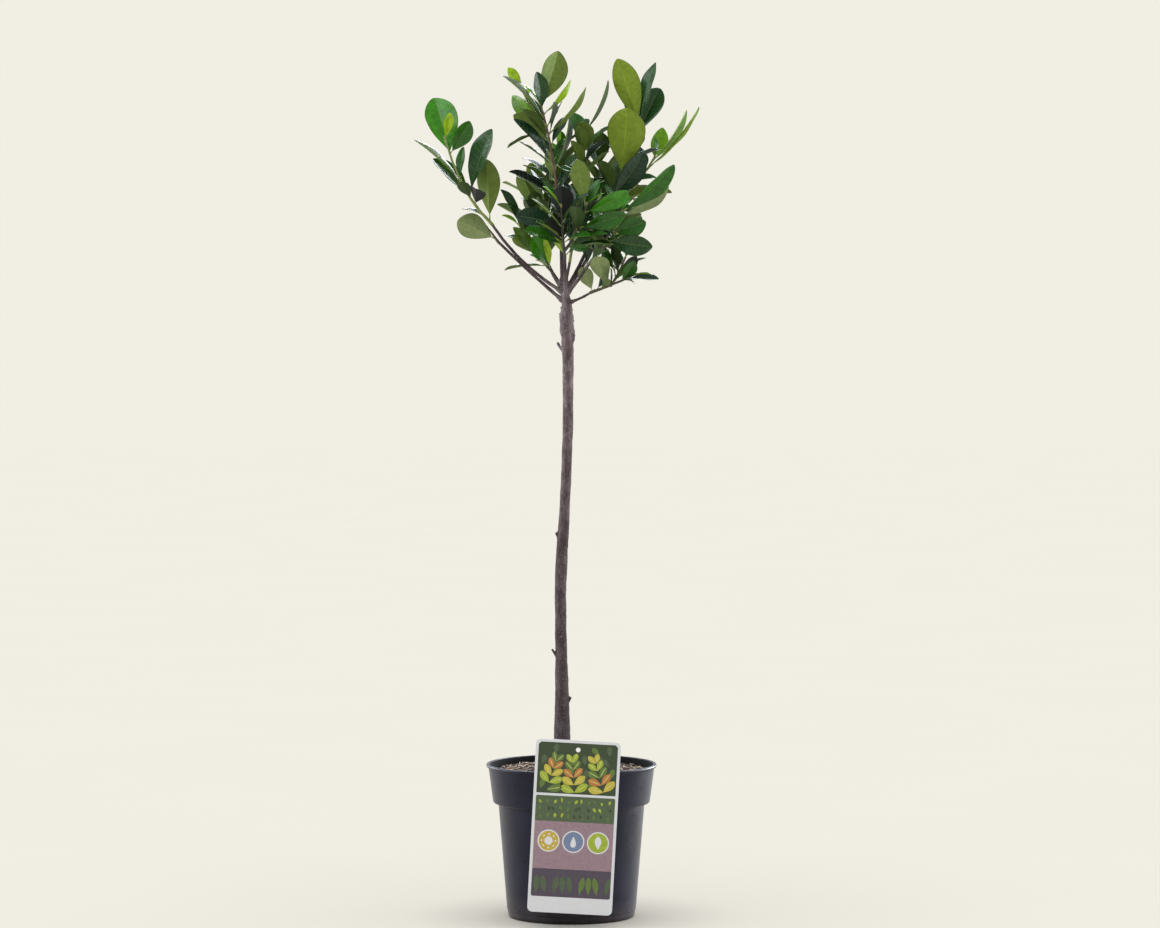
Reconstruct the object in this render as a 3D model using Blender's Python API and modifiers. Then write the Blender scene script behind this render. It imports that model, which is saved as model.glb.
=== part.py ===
"""Potted standard cherry laurel: a bare stem with an open round head of leathery leaves, in a nursery pot.

Metres, +Z up. The origin is the centre of the pot's flat underside. Right is +X and the viewer stands at -Y.
"""

import math
import random
from collections import namedtuple

import bmesh
import bpy
from mathutils import Quaternion, Vector
from mathutils.bvhtree import BVHTree

MM = 0.001
GAP = 0.3 * MM
VIEWER = Vector((0, -1, 0))
SKY = Vector((0, 0, 1))

# Pot: radii are of the outer side
POT_HEIGHT = 189 * MM
RIM_RADIUS = 105 * MM
LIP_DEPTH = 3.5 * MM
COLLAR_TOP_RADIUS = 102.4 * MM
COLLAR_FOOT_RADIUS = 96.8 * MM
COLLAR_FOOT_HEIGHT = 142.5 * MM
BODY_TOP_RADIUS = 90.2 * MM
BODY_FOOT_RADIUS = 79.6 * MM
FOOT_HEIGHT = 9 * MM
FOOT_RADIUS = 78.8 * MM
BASE_ROUNDING = 3.5 * MM
WALL = 1.8 * MM
FLOOR = 2.6 * MM
LEDGE = 2.2 * MM
DRAIN_COUNT = 8
DRAIN_RADIUS = 5.5 * MM
DRAIN_CIRCLE = 61 * MM
DRAIN_FACETS = 10
POT_FACETS = 48

# Soil: it stands a little higher round the trunk
SOIL_EDGE_HEIGHT = 180 * MM
SOIL_CROWN_HEIGHT = 184.5 * MM
SOIL_CROWN_RADIUS = 32 * MM

# Trunk: height above the ground, lean to the right and to the back, and radius, in millimetres
TRUNK = [
    (184.8, -11.5, 0, 13.0),
    (191, -11.5, 0, 11.4),
    (202, -11.5, 0, 10.6),
    (262, -11.7, 1, 8.9),
    (322, -12.6, 1.6, 7.4),
    (392, -13.6, 2, 7.0),
    (441, -12.2, 2, 7.3),
    (502, -8.6, 1, 6.4),
    (608, -4.3, 0, 6.4),
    (703, -4.6, 0.3, 7.2),
    (722, -5.5, 0.5, 8.8),
    (741, -6.3, 0.4, 8.6),
    (753, -5.8, 0, 6.5),
    (769, -7.6, 0, 4.8),
    (783, -10.4, 0.5, 3.5),
]
TRUNK_RINGS_PER_STATION = 2
TRUNK_SIDES = 12

# Pruned side twigs on the trunk: height, compass heading, length and radius
STUBS = [
    (694, 178, 17, 1.5),
    (318, 196, 15, 1.7),
    (468, 184, 8, 2.8),
    (262, 350, 11, 2.4),
    (735, 75, 13, 2.6),
]
STUB_CLIMB = math.radians(58)

# Boughs: height on the trunk, tip, bow and the two radii, in millimetres. A bow above 0 runs out, then climbs
Bough = namedtuple("Bough", "height tip bow base_radius tip_radius")
BOUGHS = {
    "bough_left": Bough(768, (-97, -12, 853), 0.11, 2.3, 1.8),
    "bough_left_low": Bough(756, (-90, 16, 832), 0.02, 2.3, 1.8),
    "bough_left_inner": Bough(773, (-25, 14, 797), 0.0, 2.1, 1.9),
    "bough_leader": Bough(783, (-13, 4, 850), -0.1, 3.3, 2.6),
    "bough_centre": Bough(775, (-2, -11, 808), 0.02, 2.1, 1.9),
    "bough_right": Bough(771, (30, 2, 850), 0.06, 2.4, 2.0),
    "bough_right_mid": Bough(766, (18, -18, 800), 0.04, 2.1, 1.9),
    "bough_right_low": Bough(756, (24, -6, 770), 0.06, 1.8, 1.6),
    "bough_front": Bough(764, (-8, -48, 812), 0.08, 2.4, 2.0),
    "bough_back_left": Bough(767, (-34, 50, 818), 0.08, 2.4, 2.0),
    "bough_back_right": Bough(771, (26, 54, 826), 0.08, 2.4, 2.0),
}

# Shoots: the first of each mass goes on from its bough's tip, and the others leave it at a share of its
# length. Then the tip in millimetres, bow, leaves set by rule, turn of the first one, and leaf size
Shoot = namedtuple("Shoot", "start tip bow leaves turn size")
MASSES = {
    "foliage_left": {
        "carrier": "bough_left",
        "left": Shoot(0, (-154, -36, 957), 0.16, 5, 200, 0.6),
    },
    "foliage_left_low": {
        "carrier": "bough_left_low",
        "left_low": Shoot(0, (-104, 20, 850), 0.0, 2, 100, 0.5),
    },
    "foliage_left_inner": {
        "carrier": "bough_left_inner",
        "left_inner": Shoot(0, (-64, 30, 852), 0.1, 8, 20, 0.66),
    },
    "foliage_leader": {
        "carrier": "bough_leader",
        "leader": Shoot(0, (-37, 6, 998), -0.15, 22, 75, 0.85),
        "leader_young": Shoot(0.84, (-61, 12, 1019), 0.1, 2, 40, 0.45),
    },
    "foliage_centre": {
        "carrier": "bough_centre",
        "centre": Shoot(0, (17, 4, 966), 0.06, 18, 200, 0.78),
    },
    "foliage_right": {
        "carrier": "bough_right",
        "right": Shoot(0, (84, -2, 970), 0.08, 10, 30, 0.85),
        "right_far": Shoot(0.12, (102, 30, 936), 0.12, 6, 165, 0.8),
    },
    "foliage_right_mid": {
        "carrier": "bough_right_mid",
        "right_mid": Shoot(0, (60, -46, 868), 0.06, 13, 250, 0.7),
    },
    "foliage_right_low": {
        "carrier": "bough_right_low",
        "right_low": Shoot(0, (78, -18, 792), 0.04, 10, 200, 0.54),
        "right_low_back": Shoot(0.45, (66, 14, 812), 0.1, 7, 10, 0.56),
    },
    "foliage_front": {
        "carrier": "bough_front",
        "front": Shoot(0, (-12, -90, 874), 0.14, 13, 0, 0.82),
        "front_right": Shoot(0.15, (18, -86, 876), 0.14, 11, 120, 0.8),
    },
    "foliage_back_left": {
        "carrier": "bough_back_left",
        "back_left": Shoot(0, (-44, 108, 902), 0.14, 14, 60, 0.88),
        "back_top": Shoot(0.2, (-14, 66, 935), -0.05, 12, 200, 0.88),
    },
    "foliage_back_right": {
        "carrier": "bough_back_right",
        "back_right": Shoot(0, (52, 108, 896), 0.14, 13, 30, 0.95),
        "back_right_top": Shoot(0.2, (36, 60, 942), 0.0, 12, 140, 0.88),
    },
}

# The leaves that make the crown's face: shoot, share of its length, then in millimetres how far right and how
# high the leaf's tip is, how far nearer to the viewer than its root, and its width, and in degrees how far
# its upper side is turned from the viewer
FaceLeaf = namedtuple("FaceLeaf", "shoot at right height toward width turn")
FACE_LEAVES = [
    FaceLeaf("left", 0.79, -169, 1012, -16, 44, 14),
    FaceLeaf("left", 0.84, -124, 979, 14, 25, 25),
    FaceLeaf("left", 0.47, -194, 958, 4, 28, 84),
    FaceLeaf("left", 0.30, -172, 936, -8, 32, 48),
    FaceLeaf("left", 0.37, -97, 970, -4, 32, -38),
    FaceLeaf("left", 0.03, -104, 933, 10, 31, 172),
    FaceLeaf("left", 0.26, -117, 897, 42, 24, 150),
    FaceLeaf("left", 1.00, -148, 989, 10, 14, 20),
    FaceLeaf("left_low", 0.15, -142, 859, 6, 35, 168),
    FaceLeaf("left_inner", 0.08, -48, 839, 18, 28, 20),
    FaceLeaf("left_inner", 0.25, -72, 850, 16, 17, 28),
    FaceLeaf("left_inner", 0.06, -58, 822, 10, 11, 120),
    FaceLeaf("left_inner", 0.95, -88, 897, 6, 24, 60),
    FaceLeaf("left_inner", 0.12, -83, 797, -16, 20, 88),
    FaceLeaf("leader", 1.00, -16, 1066, 4, 37, 160),
    FaceLeaf("leader", 0.96, -43, 1044, -6, 24, 30),
    FaceLeaf("leader", 0.90, -84, 1035, 12, 28, 82),
    FaceLeaf("leader", 0.78, -73, 1012, -14, 22, -20),
    FaceLeaf("leader", 0.70, -71, 988, 10, 26, 150),
    FaceLeaf("leader", 0.50, -71, 982, 16, 26, 62),
    FaceLeaf("leader", 0.80, -95, 943, 2, 18, 88),
    FaceLeaf("leader", 0.93, -1, 1032, -14, 16, 60),
    FaceLeaf("leader", 0.76, 18, 1022, 10, 19, 118),
    FaceLeaf("leader", 0.82, -22, 1003, 20, 22, 72),
    FaceLeaf("leader", 0.46, -3, 983, 20, 26, 78),
    FaceLeaf("leader", 0.22, -77, 918, 8, 28, 64),
    FaceLeaf("leader_young", 0.97, -78, 1046, 2, 14, 20),
    FaceLeaf("leader_young", 0.78, -55, 1037, -10, 11, 30),
    FaceLeaf("centre", 1.00, 45, 1031, 0, 26, 84),
    FaceLeaf("centre", 0.83, 14, 987, 10, 28, 158),
    FaceLeaf("front_right", 0.85, 69, 893, 6, 26, 28),
    FaceLeaf("right", 1.00, 56, 1056, 8, 36, 164),
    FaceLeaf("right", 0.50, 68, 995, 30, 51, 172),
    FaceLeaf("right", 0.93, 110, 1025, -20, 33, -12),
    FaceLeaf("right", 0.99, 104, 1051, -36, 24, -45),
    FaceLeaf("right", 0.26, 89, 942, 12, 32, 22),
    FaceLeaf("right_far", 0.97, 113, 974, -28, 23, 165),
    FaceLeaf("right_far", 0.90, 142, 995, 2, 28, 72),
    FaceLeaf("right_far", 0.82, 157, 998, 14, 24, 86),
    FaceLeaf("right_mid", 0.98, 125, 926, 10, 32, 50),
    FaceLeaf("right_mid", 0.66, 91, 856, 8, 27, 15),
    FaceLeaf("right_mid", 0.51, 99, 826, 10, 28, 12),
    FaceLeaf("right_low", 0.37, 30, 814, 24, 26, 172),
    FaceLeaf("right_low", 0.68, 77, 809, 16, 19, 24),
    FaceLeaf("right_low_back", 0.40, 80, 815, 6, 17, 30),
    FaceLeaf("right_low", 0.03, 12, 800, 14, 21, 168),
    FaceLeaf("front", 0.80, -12, 900, 12, 32, 172),
    FaceLeaf("front", 0.30, -24, 862, 12, 29, 168),
    FaceLeaf("leader", 0.02, -68, 864, 12, 27, 20),
    FaceLeaf("right_mid", 0.90, 120, 900, 16, 24, 140),
    FaceLeaf("front", 0.03, 25, 857, 8, 18, 40),
    FaceLeaf("front", 0.06, -20, 840, 8, 14, 158),
    FaceLeaf("front_right", 0.55, 66, 866, 8, 24, 20),
    FaceLeaf("front_right", 0.96, 7, 931, 8, 26, 176),
    FaceLeaf("left_inner", 0.02, -34, 838, 26, 11, 30),
    FaceLeaf("right_mid", 0.02, 18, 846, 8, 18, 20),
]

# Leaf growth
SEED = 23
PHYLLOTAXIS = math.radians(144)
LEAF_LENGTH = 72 * MM
LEAF_WIDTH_SHARE = 0.4
PETIOLE_SHARE = 0.12
PETIOLE_RADIUS = 0.7 * MM
LEAF_THICKNESS = 1.0 * MM
LOWEST_LEAF_AT = 0.12
LEAN_AT_FOOT = math.radians(64)
LEAN_AT_TIP = math.radians(30)
YOUNG_LEAVES = 2
YOUNG_SIZE = 0.6
SKY_PULL = 0.7
RISE = 0.3
RULE_TURNS = {0: 1, 20: 1, 42: 0.92, 68: 0.85, 95: 0.75}
RULE_RETRIES = [(turn * side, size) for turn, size in RULE_TURNS.items() for side in (1, -1)]
FACE_TILTS = (0, 6, 12, 18, 25, 33, 42)
FACE_RETRIES = [(tilt * side, 1 - tilt / 300) for tilt in FACE_TILTS for side in (1, -1)]
SPARE = 0.45 * MM

# Shoots with slimmer leaves, and shoots whose stem stays in view, with how far towards the viewer their rule
# leaves may point
SLIM_LEAVES = {"leader": 0.72}
STEM_SHOWS = {"leader": 0.3, "front": 0.62}

# Shape of a leaf
FACE_CURL = math.radians(18)
FACE_FOLD = math.radians(22)
BLADE_STATIONS = [0.22, 0.57, 0.86]
BLADE_SKEW = 1.32

SHOOT_FOOT_RADIUS = 1.9 * MM
SHOOT_TIP_RADIUS = 1.0 * MM
SHOOT_STEPS = 5
SHOOT_SIDES = 5
BOUGH_STEPS = 5
BOUGH_SIDES = 8
BOUGH_FOOT_STEP = 0.25 * MM

# Plant label: a card that hangs on the rim by a hook
LABEL_WIDTH = 103 * MM
LABEL_HEIGHT = 211 * MM
LABEL_CORNER = 6 * MM
LABEL_THICKNESS = 1 * MM
LABEL_CENTRE = (3.3 * MM, 123.5 * MM)
LABEL_TURN = math.radians(3.1)
LABEL_HOLE_RADIUS = 2.6 * MM
LABEL_HOLE_BELOW_TOP = 11.5 * MM
HOOK_WIDTH = 22 * MM
HOOK_THICKNESS = 1 * MM
HOOK_FRONT_DROP = 20 * MM
HOOK_BACK_DROP = 6 * MM

Leaf = namedtuple("Leaf", "root axis upper length width curl fold")


# Scene and materials
def clear_scene():
    for obj in list(bpy.data.objects):
        bpy.data.objects.remove(obj)


def material(name, colour, roughness, metallic=0.0):
    made = bpy.data.materials.new(name)
    made.use_nodes = True
    shader = made.node_tree.nodes["Principled BSDF"]
    shader.inputs["Base Color"].default_value = (*colour, 1)
    shader.inputs["Roughness"].default_value = roughness
    shader.inputs["Metallic"].default_value = metallic
    return made


def collection(name):
    made = bpy.data.collections.new(name)
    bpy.context.scene.collection.children.link(made)
    return made


def mesh_object(name, points, faces, finish, home):
    mesh = bpy.data.meshes.new(name)
    mesh.from_pydata(points, [], faces)
    mesh.materials.append(finish)
    obj = bpy.data.objects.new(name, mesh)
    home.objects.link(obj)
    return obj


# Lines and lofts
def limb_line(start, tip, bow, steps):
    """A quadratic curve from start to tip. With a bow above 0 it runs out before it climbs."""
    run = tip - start
    knee = start + Vector((run.x * (0.5 + bow), run.y * (0.5 + bow), run.z * (0.5 - bow)))
    shares = [i / steps for i in range(steps + 1)]
    return [start * (1 - t) ** 2 + knee * (2 * t * (1 - t)) + tip * t**2 for t in shares]


def smooth_line(stations, steps):
    """Catmull-Rom curve through the stations, each a vector of any size."""
    ends = [stations[0]] + list(stations) + [stations[-1]]
    line = []
    for a, b, c, d in zip(ends, ends[1:], ends[2:], ends[3:]):
        for step in range(steps):
            t = step / steps
            square = 2 * a - 5 * b + 4 * c - d
            cube = 3 * b - 3 * c + d - a
            line.append(0.5 * (2 * b + (c - a) * t + square * t**2 + cube * t**3))
    return line + [stations[-1]]


def on_line(line, share):
    """(point, direction) at this share of a polyline's length."""
    lengths = [(b - a).length for a, b in zip(line, line[1:])]
    left = share * sum(lengths)
    for a, b, length in zip(line, line[1:], lengths):
        if left <= length:
            break
        left -= length
    else:
        left = length
    return a.lerp(b, left / length), (b - a).normalized()


def loft(rings, tip=None):
    """(points, faces) of a closed skin over rings of equal count, ending in a cap or in the point tip."""
    count = len(rings[0])
    points = [p for ring in rings for p in ring]
    faces = [tuple(reversed(range(count)))]
    for k in range(len(rings) - 1):
        for i in range(count):
            j = (i + 1) % count
            faces.append((k * count + i, k * count + j, (k + 1) * count + j, (k + 1) * count + i))
    last = (len(rings) - 1) * count
    if tip is None:
        faces.append(tuple(range(last, last + count)))
    else:
        faces += [(last + i, last + (i + 1) % count, len(points)) for i in range(count)]
        points.append(tip)
    return points, faces


def tube(line, radii, sides):
    """(points, faces) of a round limb along a polyline."""
    rings = []
    across = SKY.orthogonal()
    for i, (point, radius) in enumerate(zip(line, radii)):
        before = line[max(i - 1, 0)]
        after = line[min(i + 1, len(line) - 1)]
        along = (after - before).normalized()
        across = (across - along * across.dot(along)).normalized()
        beside = along.cross(across)
        turns = [2 * math.pi * k / sides for k in range(sides)]
        rings.append([point + (across * math.cos(a) + beside * math.sin(a)) * radius for a in turns])
    return loft(rings)


def tapered(first, last, count):
    return [first + (last - first) * i / (count - 1) for i in range(count)]


# Leaves
def blade_half_width(share):
    """Half the blade's width as a share of its full width: widest past the middle, blunt at the tip."""
    return 0.5 * math.sin(math.pi * share**BLADE_SKEW) ** 0.7


def leaf_rings(leaf, spare=0.0):
    """(rings, tip) of a leaf: a slim stalk, then a blade folded along its midrib and curled back."""
    across = leaf.axis.cross(leaf.upper)
    stalk = leaf.length * PETIOLE_SHARE
    blade = leaf.length - stalk
    thick = LEAF_THICKNESS / 2 + spare
    stem = PETIOLE_RADIUS + spare

    def ring(point, upper, half, rise, depth):
        edge = across * half
        lift = upper * rise
        return [point + edge + lift, point + upper * depth, point - edge + lift, point - upper * depth]

    def midrib(share):
        bend = leaf.curl * share
        radius = blade / leaf.curl
        point = leaf.axis * (stalk + radius * math.sin(bend)) - leaf.upper * (radius * (1 - math.cos(bend)))
        return leaf.root + point, leaf.upper * math.cos(bend) + leaf.axis * math.sin(bend)

    rings = [
        ring(leaf.root, leaf.upper, stem, 0, stem),
        ring(*midrib(0), stem, 0, stem),
    ]
    for share in BLADE_STATIONS:
        half = blade_half_width(share) * leaf.width + spare
        rings.append(ring(*midrib(share), half * math.cos(leaf.fold), half * math.sin(leaf.fold), thick))
    point, _ = midrib(1)
    return rings, point


def leaf_shape(leaf):
    rings, tip = leaf_rings(leaf)
    return loft(rings, tip)


def blade_shape(leaf, spare):
    rings, tip = leaf_rings(leaf, spare)
    return loft(rings[1:], tip)


def stalk_shape(leaf, spare):
    rings, _ = leaf_rings(leaf, spare)
    return loft(rings[:2])


def leaf_facing(axis, towards):
    return (towards - axis * towards.dot(axis)).normalized()


def face_leaf(spec, line):
    """The leaf whose midrib arc ends at the given tip."""
    root, _ = on_line(line, spec.at)
    tip = Vector((spec.right * MM, root.y - spec.toward * MM, spec.height * MM))
    chord = (tip - root).normalized()
    upper = leaf_facing(chord, VIEWER)
    upper.rotate(Quaternion(chord, math.radians(spec.turn)))
    radius = (1 - PETIOLE_SHARE) / FACE_CURL
    reach = PETIOLE_SHARE + radius * math.sin(FACE_CURL)
    drop = radius * (1 - math.cos(FACE_CURL))
    lift = math.atan2(drop, reach)
    axis = chord * math.cos(lift) + upper * math.sin(lift)
    upper = upper * math.cos(lift) - chord * math.sin(lift)
    length = (tip - root).length / math.hypot(reach, drop)
    return Leaf(root, axis, upper, length, spec.width * MM, FACE_CURL, FACE_FOLD)


def rule_leaf(name, shoot, index, line, dice):
    """The leaf at one node of a shoot: two turns of the spiral for every five leaves."""
    share = LOWEST_LEAF_AT + (1 - LOWEST_LEAF_AT) * index / max(1, shoot.leaves - 1)
    root, along = on_line(line, share)
    front = leaf_facing(along, VIEWER)
    turn = math.radians(shoot.turn) + index * PHYLLOTAXIS + dice.uniform(-0.25, 0.25)
    lean = LEAN_AT_FOOT + (LEAN_AT_TIP - LEAN_AT_FOOT) * share + dice.uniform(-0.15, 0.15)
    outward = front * math.cos(turn) + along.cross(front) * math.sin(turn)
    axis = (along * math.cos(lean) + outward * math.sin(lean) + SKY * RISE).normalized()
    upper = leaf_facing(axis, along + SKY * SKY_PULL)
    upper.rotate(Quaternion(axis, dice.uniform(-0.4, 0.4)))
    size = shoot.size * dice.uniform(0.84, 1.06)
    if index >= shoot.leaves - YOUNG_LEAVES:
        size *= YOUNG_SIZE
    length = LEAF_LENGTH * size
    width = length * LEAF_WIDTH_SHARE * dice.uniform(0.9, 1.12) * SLIM_LEAVES.get(name, 1)
    curl, fold = math.radians(dice.uniform(8, 34)), math.radians(dice.uniform(10, 28))
    return Leaf(root, axis, upper, length, width, curl, fold), along


class Crown:
    """What already stands in the crown, so that each new leaf finds free air or is left out."""

    def __init__(self):
        self.things = []

    def add(self, shape, owner):
        points, _ = shape
        centre = sum(points, Vector()) / len(points)
        reach = max((p - centre).length for p in points)
        self.things.append((centre, reach, BVHTree.FromPolygons(*shape), owner))

    def is_free(self, leaf, shoot_name):
        """A blade keeps clear of everything, and a stalk of all but the stalks and stem of its own shoot."""
        stalk = BVHTree.FromPolygons(*stalk_shape(leaf, SPARE))
        blade = BVHTree.FromPolygons(*blade_shape(leaf, SPARE))
        centre = leaf.root + leaf.axis * leaf.length / 2
        for there, reach, tree, owner in self.things:
            if (there - centre).length > reach + leaf.length * 0.62:
                continue
            if tree.overlap(blade) or (owner != shoot_name and tree.overlap(stalk)):
                return False
        return True

    def place(self, leaf, shoot_name, pivot, retries):
        """The leaf turned about its root until it is free, or None."""
        for turn, size in retries:
            spin = Quaternion(pivot, math.radians(turn))
            moved = leaf._replace(
                axis=spin @ leaf.axis,
                upper=spin @ leaf.upper,
                length=leaf.length * size,
                width=leaf.width * size,
            )
            if self.is_free(moved, shoot_name):
                self.add(blade_shape(moved, SPARE), None)
                self.add(stalk_shape(moved, SPARE), shoot_name)
                return moved
        return None


def trunk_line():
    stations = [Vector((x, y, z, r)) * MM for z, x, y, r in TRUNK]
    line = smooth_line(stations, TRUNK_RINGS_PER_STATION)
    return [p.xyz for p in line], [p.w for p in line]


def trunk_at(height):
    """(centre, radius) of the trunk at this height in millimetres."""
    line, radii = trunk_line()
    for a, b, first, last in zip(line, line[1:], radii, radii[1:]):
        if b.z >= height * MM:
            break
    share = (height * MM - a.z) / (b.z - a.z)
    return a.lerp(b, share), first + (last - first) * share


def cap_gap(along, before, radius):
    """How far on a limb starts, so that its flat cap clears the cap of the limb before it."""
    return GAP + 1.1 * radius * math.sin(along.angle(before))


def bough_radii(bough, spare=0.0):
    return tapered(bough.base_radius * MM + spare, bough.tip_radius * MM + spare, BOUGH_STEPS + 1)


def grow_boughs():
    """Each bough's centreline by name. The leader goes on from the trunk's tip, the others leave its side."""
    trunk, radii = trunk_line()
    trunk_skin = BVHTree.FromPolygons(*tube(trunk, [r + GAP for r in radii], TRUNK_SIDES))
    lines = {}
    for name, bough in BOUGHS.items():
        centre = trunk_at(bough.height)[0]
        tip = Vector(bough.tip) * MM
        along = (limb_line(centre, tip, bough.bow, BOUGH_STEPS)[1] - centre).normalized()
        if bough.height == TRUNK[-1][0]:
            before = (trunk[-1] - trunk[-2]).normalized()
            foot = centre + before * cap_gap(along, before, bough.base_radius * MM)
            lines[name] = limb_line(foot, tip, bough.bow, BOUGH_STEPS)
            continue
        for step in range(200):
            line = limb_line(centre + along * step * BOUGH_FOOT_STEP, tip, bough.bow, BOUGH_STEPS)
            skin = BVHTree.FromPolygons(*tube(line, bough_radii(bough), BOUGH_SIDES))
            if not skin.overlap(trunk_skin):
                break
        lines[name] = line
    return lines


def grow_shoots(bough_lines):
    """Each shoot's centreline by name. A side shoot starts on its mass's first shoot."""
    lines = {}
    for mass in MASSES.values():
        shoots = [(name, shoot) for name, shoot in mass.items() if name != "carrier"]
        stem = None
        for name, shoot in shoots:
            if stem is None:
                line = bough_lines[mass["carrier"]]
                before = (line[-1] - line[-2]).normalized()
                tip = Vector(shoot.tip) * MM
                along = (limb_line(line[-1], tip, shoot.bow, SHOOT_STEPS)[1] - line[-1]).normalized()
                start = line[-1] + before * cap_gap(along, before, SHOOT_FOOT_RADIUS)
            else:
                start, _ = on_line(stem, shoot.start)
            lines[name] = limb_line(start, Vector(shoot.tip) * MM, shoot.bow, SHOOT_STEPS)
            stem = stem or lines[name]
    return lines


def shoot_radii():
    return tapered(SHOOT_FOOT_RADIUS, SHOOT_TIP_RADIUS, SHOOT_STEPS + 1)


def grow_leaves(bough_lines, lines):
    """The leaves of each shoot by name: the crown's face first, then those set by rule where air is left."""
    crown = Crown()
    line, radii = trunk_line()
    crown.add(tube(line, [r + SPARE for r in radii], BOUGH_SIDES), "trunk")
    for name, line in bough_lines.items():
        crown.add(tube(line, bough_radii(BOUGHS[name], SPARE), BOUGH_SIDES), name)
    for name, line in lines.items():
        crown.add(tube(line, [r + SPARE for r in shoot_radii()], SHOOT_SIDES), name)
    leaves = {name: [] for name in lines}
    dice = random.Random(SEED)
    for spec in FACE_LEAVES:
        leaf = face_leaf(spec, lines[spec.shoot])
        placed = crown.place(leaf, spec.shoot, leaf.axis.cross(VIEWER).normalized(), FACE_RETRIES)
        if placed:
            leaves[spec.shoot].append(placed)
    for mass in MASSES.values():
        for name, shoot in mass.items():
            if name == "carrier":
                continue
            for index in range(shoot.leaves):
                leaf, along = rule_leaf(name, shoot, index, lines[name], dice)
                if leaf.axis.dot(VIEWER) > STEM_SHOWS.get(name, 1):
                    continue
                placed = crown.place(leaf, name, along, RULE_RETRIES)
                if placed:
                    leaves[name].append(placed)
    return leaves


# Fusing
def fused(name, shapes, finish, home):
    """One closed mesh of all the shapes."""
    workshop = collection(name + "_pieces")
    pieces = [mesh_object(f"{name}_piece{i}", *shape, finish, workshop) for i, shape in enumerate(shapes)]
    body = pieces[0]
    workshop.objects.unlink(body)
    home.objects.link(body)
    if len(pieces) > 1:
        union = body.modifiers.new("union", "BOOLEAN")
        union.operation = "UNION"
        union.solver = "EXACT"
        union.operand_type = "COLLECTION"
        union.collection = workshop
    graph = bpy.context.evaluated_depsgraph_get()
    mesh = bpy.data.meshes.new_from_object(body.evaluated_get(graph))
    made = bpy.data.objects.new(name, mesh)
    home.objects.link(made)
    for piece in pieces:
        bpy.data.objects.remove(piece)
    bpy.data.collections.remove(workshop)
    return made


def build_foliage(bough_lines, home, finish):
    lines = grow_shoots(bough_lines)
    leaves = grow_leaves(bough_lines, lines)
    for mass_name, mass in MASSES.items():
        shapes = []
        for name in mass:
            if name != "carrier":
                shapes.append(tube(lines[name], shoot_radii(), SHOOT_SIDES))
                shapes += [leaf_shape(leaf) for leaf in leaves[name]]
        fused(mass_name, shapes, finish, home)


# Trunk and boughs
def limb_curve(name, line, radii, finish, home):
    """A tapering round limb as a bevelled curve with filled ends."""
    curve = bpy.data.curves.new(name, "CURVE")
    curve.dimensions = "3D"
    curve.bevel_depth = MM
    curve.bevel_resolution = BOUGH_SIDES // 2 - 2
    curve.use_fill_caps = True
    spline = curve.splines.new("POLY")
    spline.points.add(len(line) - 1)
    for point, place, radius in zip(spline.points, line, radii):
        point.co = (*place, 1)
        point.radius = radius / MM
    curve.materials.append(finish)
    obj = bpy.data.objects.new(name, curve)
    home.objects.link(obj)
    return obj


def build_trunk(home, finish):
    """The trunk with its pruned stubs fused on."""
    line, radii = trunk_line()
    shapes = [tube(line, radii, TRUNK_SIDES)]
    for height, heading, length, radius in STUBS:
        centre, trunk_radius = trunk_at(height)
        compass = math.radians(heading)
        level = math.cos(STUB_CLIMB)
        along = Vector((math.cos(compass) * level, math.sin(compass) * level, math.sin(STUB_CLIMB)))
        foot = centre + Vector((math.cos(compass), math.sin(compass), 0)) * (trunk_radius * 0.55)
        ends = [foot, foot + along * length * MM]
        shapes.append(tube(ends, [radius * MM, radius * 0.75 * MM], 6))
    fused("trunk", shapes, finish, home)


def build_boughs(bough_lines, home, finish):
    for name, line in bough_lines.items():
        limb_curve(name, line, bough_radii(BOUGHS[name]), finish, home)


# Pot and soil
def pot_inner(air=0.0):
    """The inner wall as (radius, height), from the floor's edge to the rim, moved inwards by air."""
    return [
        (FOOT_RADIUS - WALL - 1.5 * MM - air, FLOOR),
        (BODY_TOP_RADIUS - WALL - air, COLLAR_FOOT_HEIGHT - LEDGE + 1 * MM),
        (COLLAR_FOOT_RADIUS - WALL - air, COLLAR_FOOT_HEIGHT + 1.5 * MM),
        (COLLAR_TOP_RADIUS - WALL - air, POT_HEIGHT - 1 * MM),
    ]


def turned(name, profile, finish, home):
    """A round body from a profile that starts and ends on the axis, its outer side running downwards."""
    points = [(radius, 0, height) for radius, height in profile]
    mesh = bpy.data.meshes.new(name)
    mesh.from_pydata(points, [(i, i + 1) for i in range(len(points) - 1)], [])
    mesh.materials.append(finish)
    obj = bpy.data.objects.new(name, mesh)
    home.objects.link(obj)
    screw = obj.modifiers.new("turn", "SCREW")
    screw.steps = POT_FACETS
    screw.render_steps = POT_FACETS
    screw.use_merge_vertices = True
    screw.merge_threshold = 0.00001
    return obj


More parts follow.
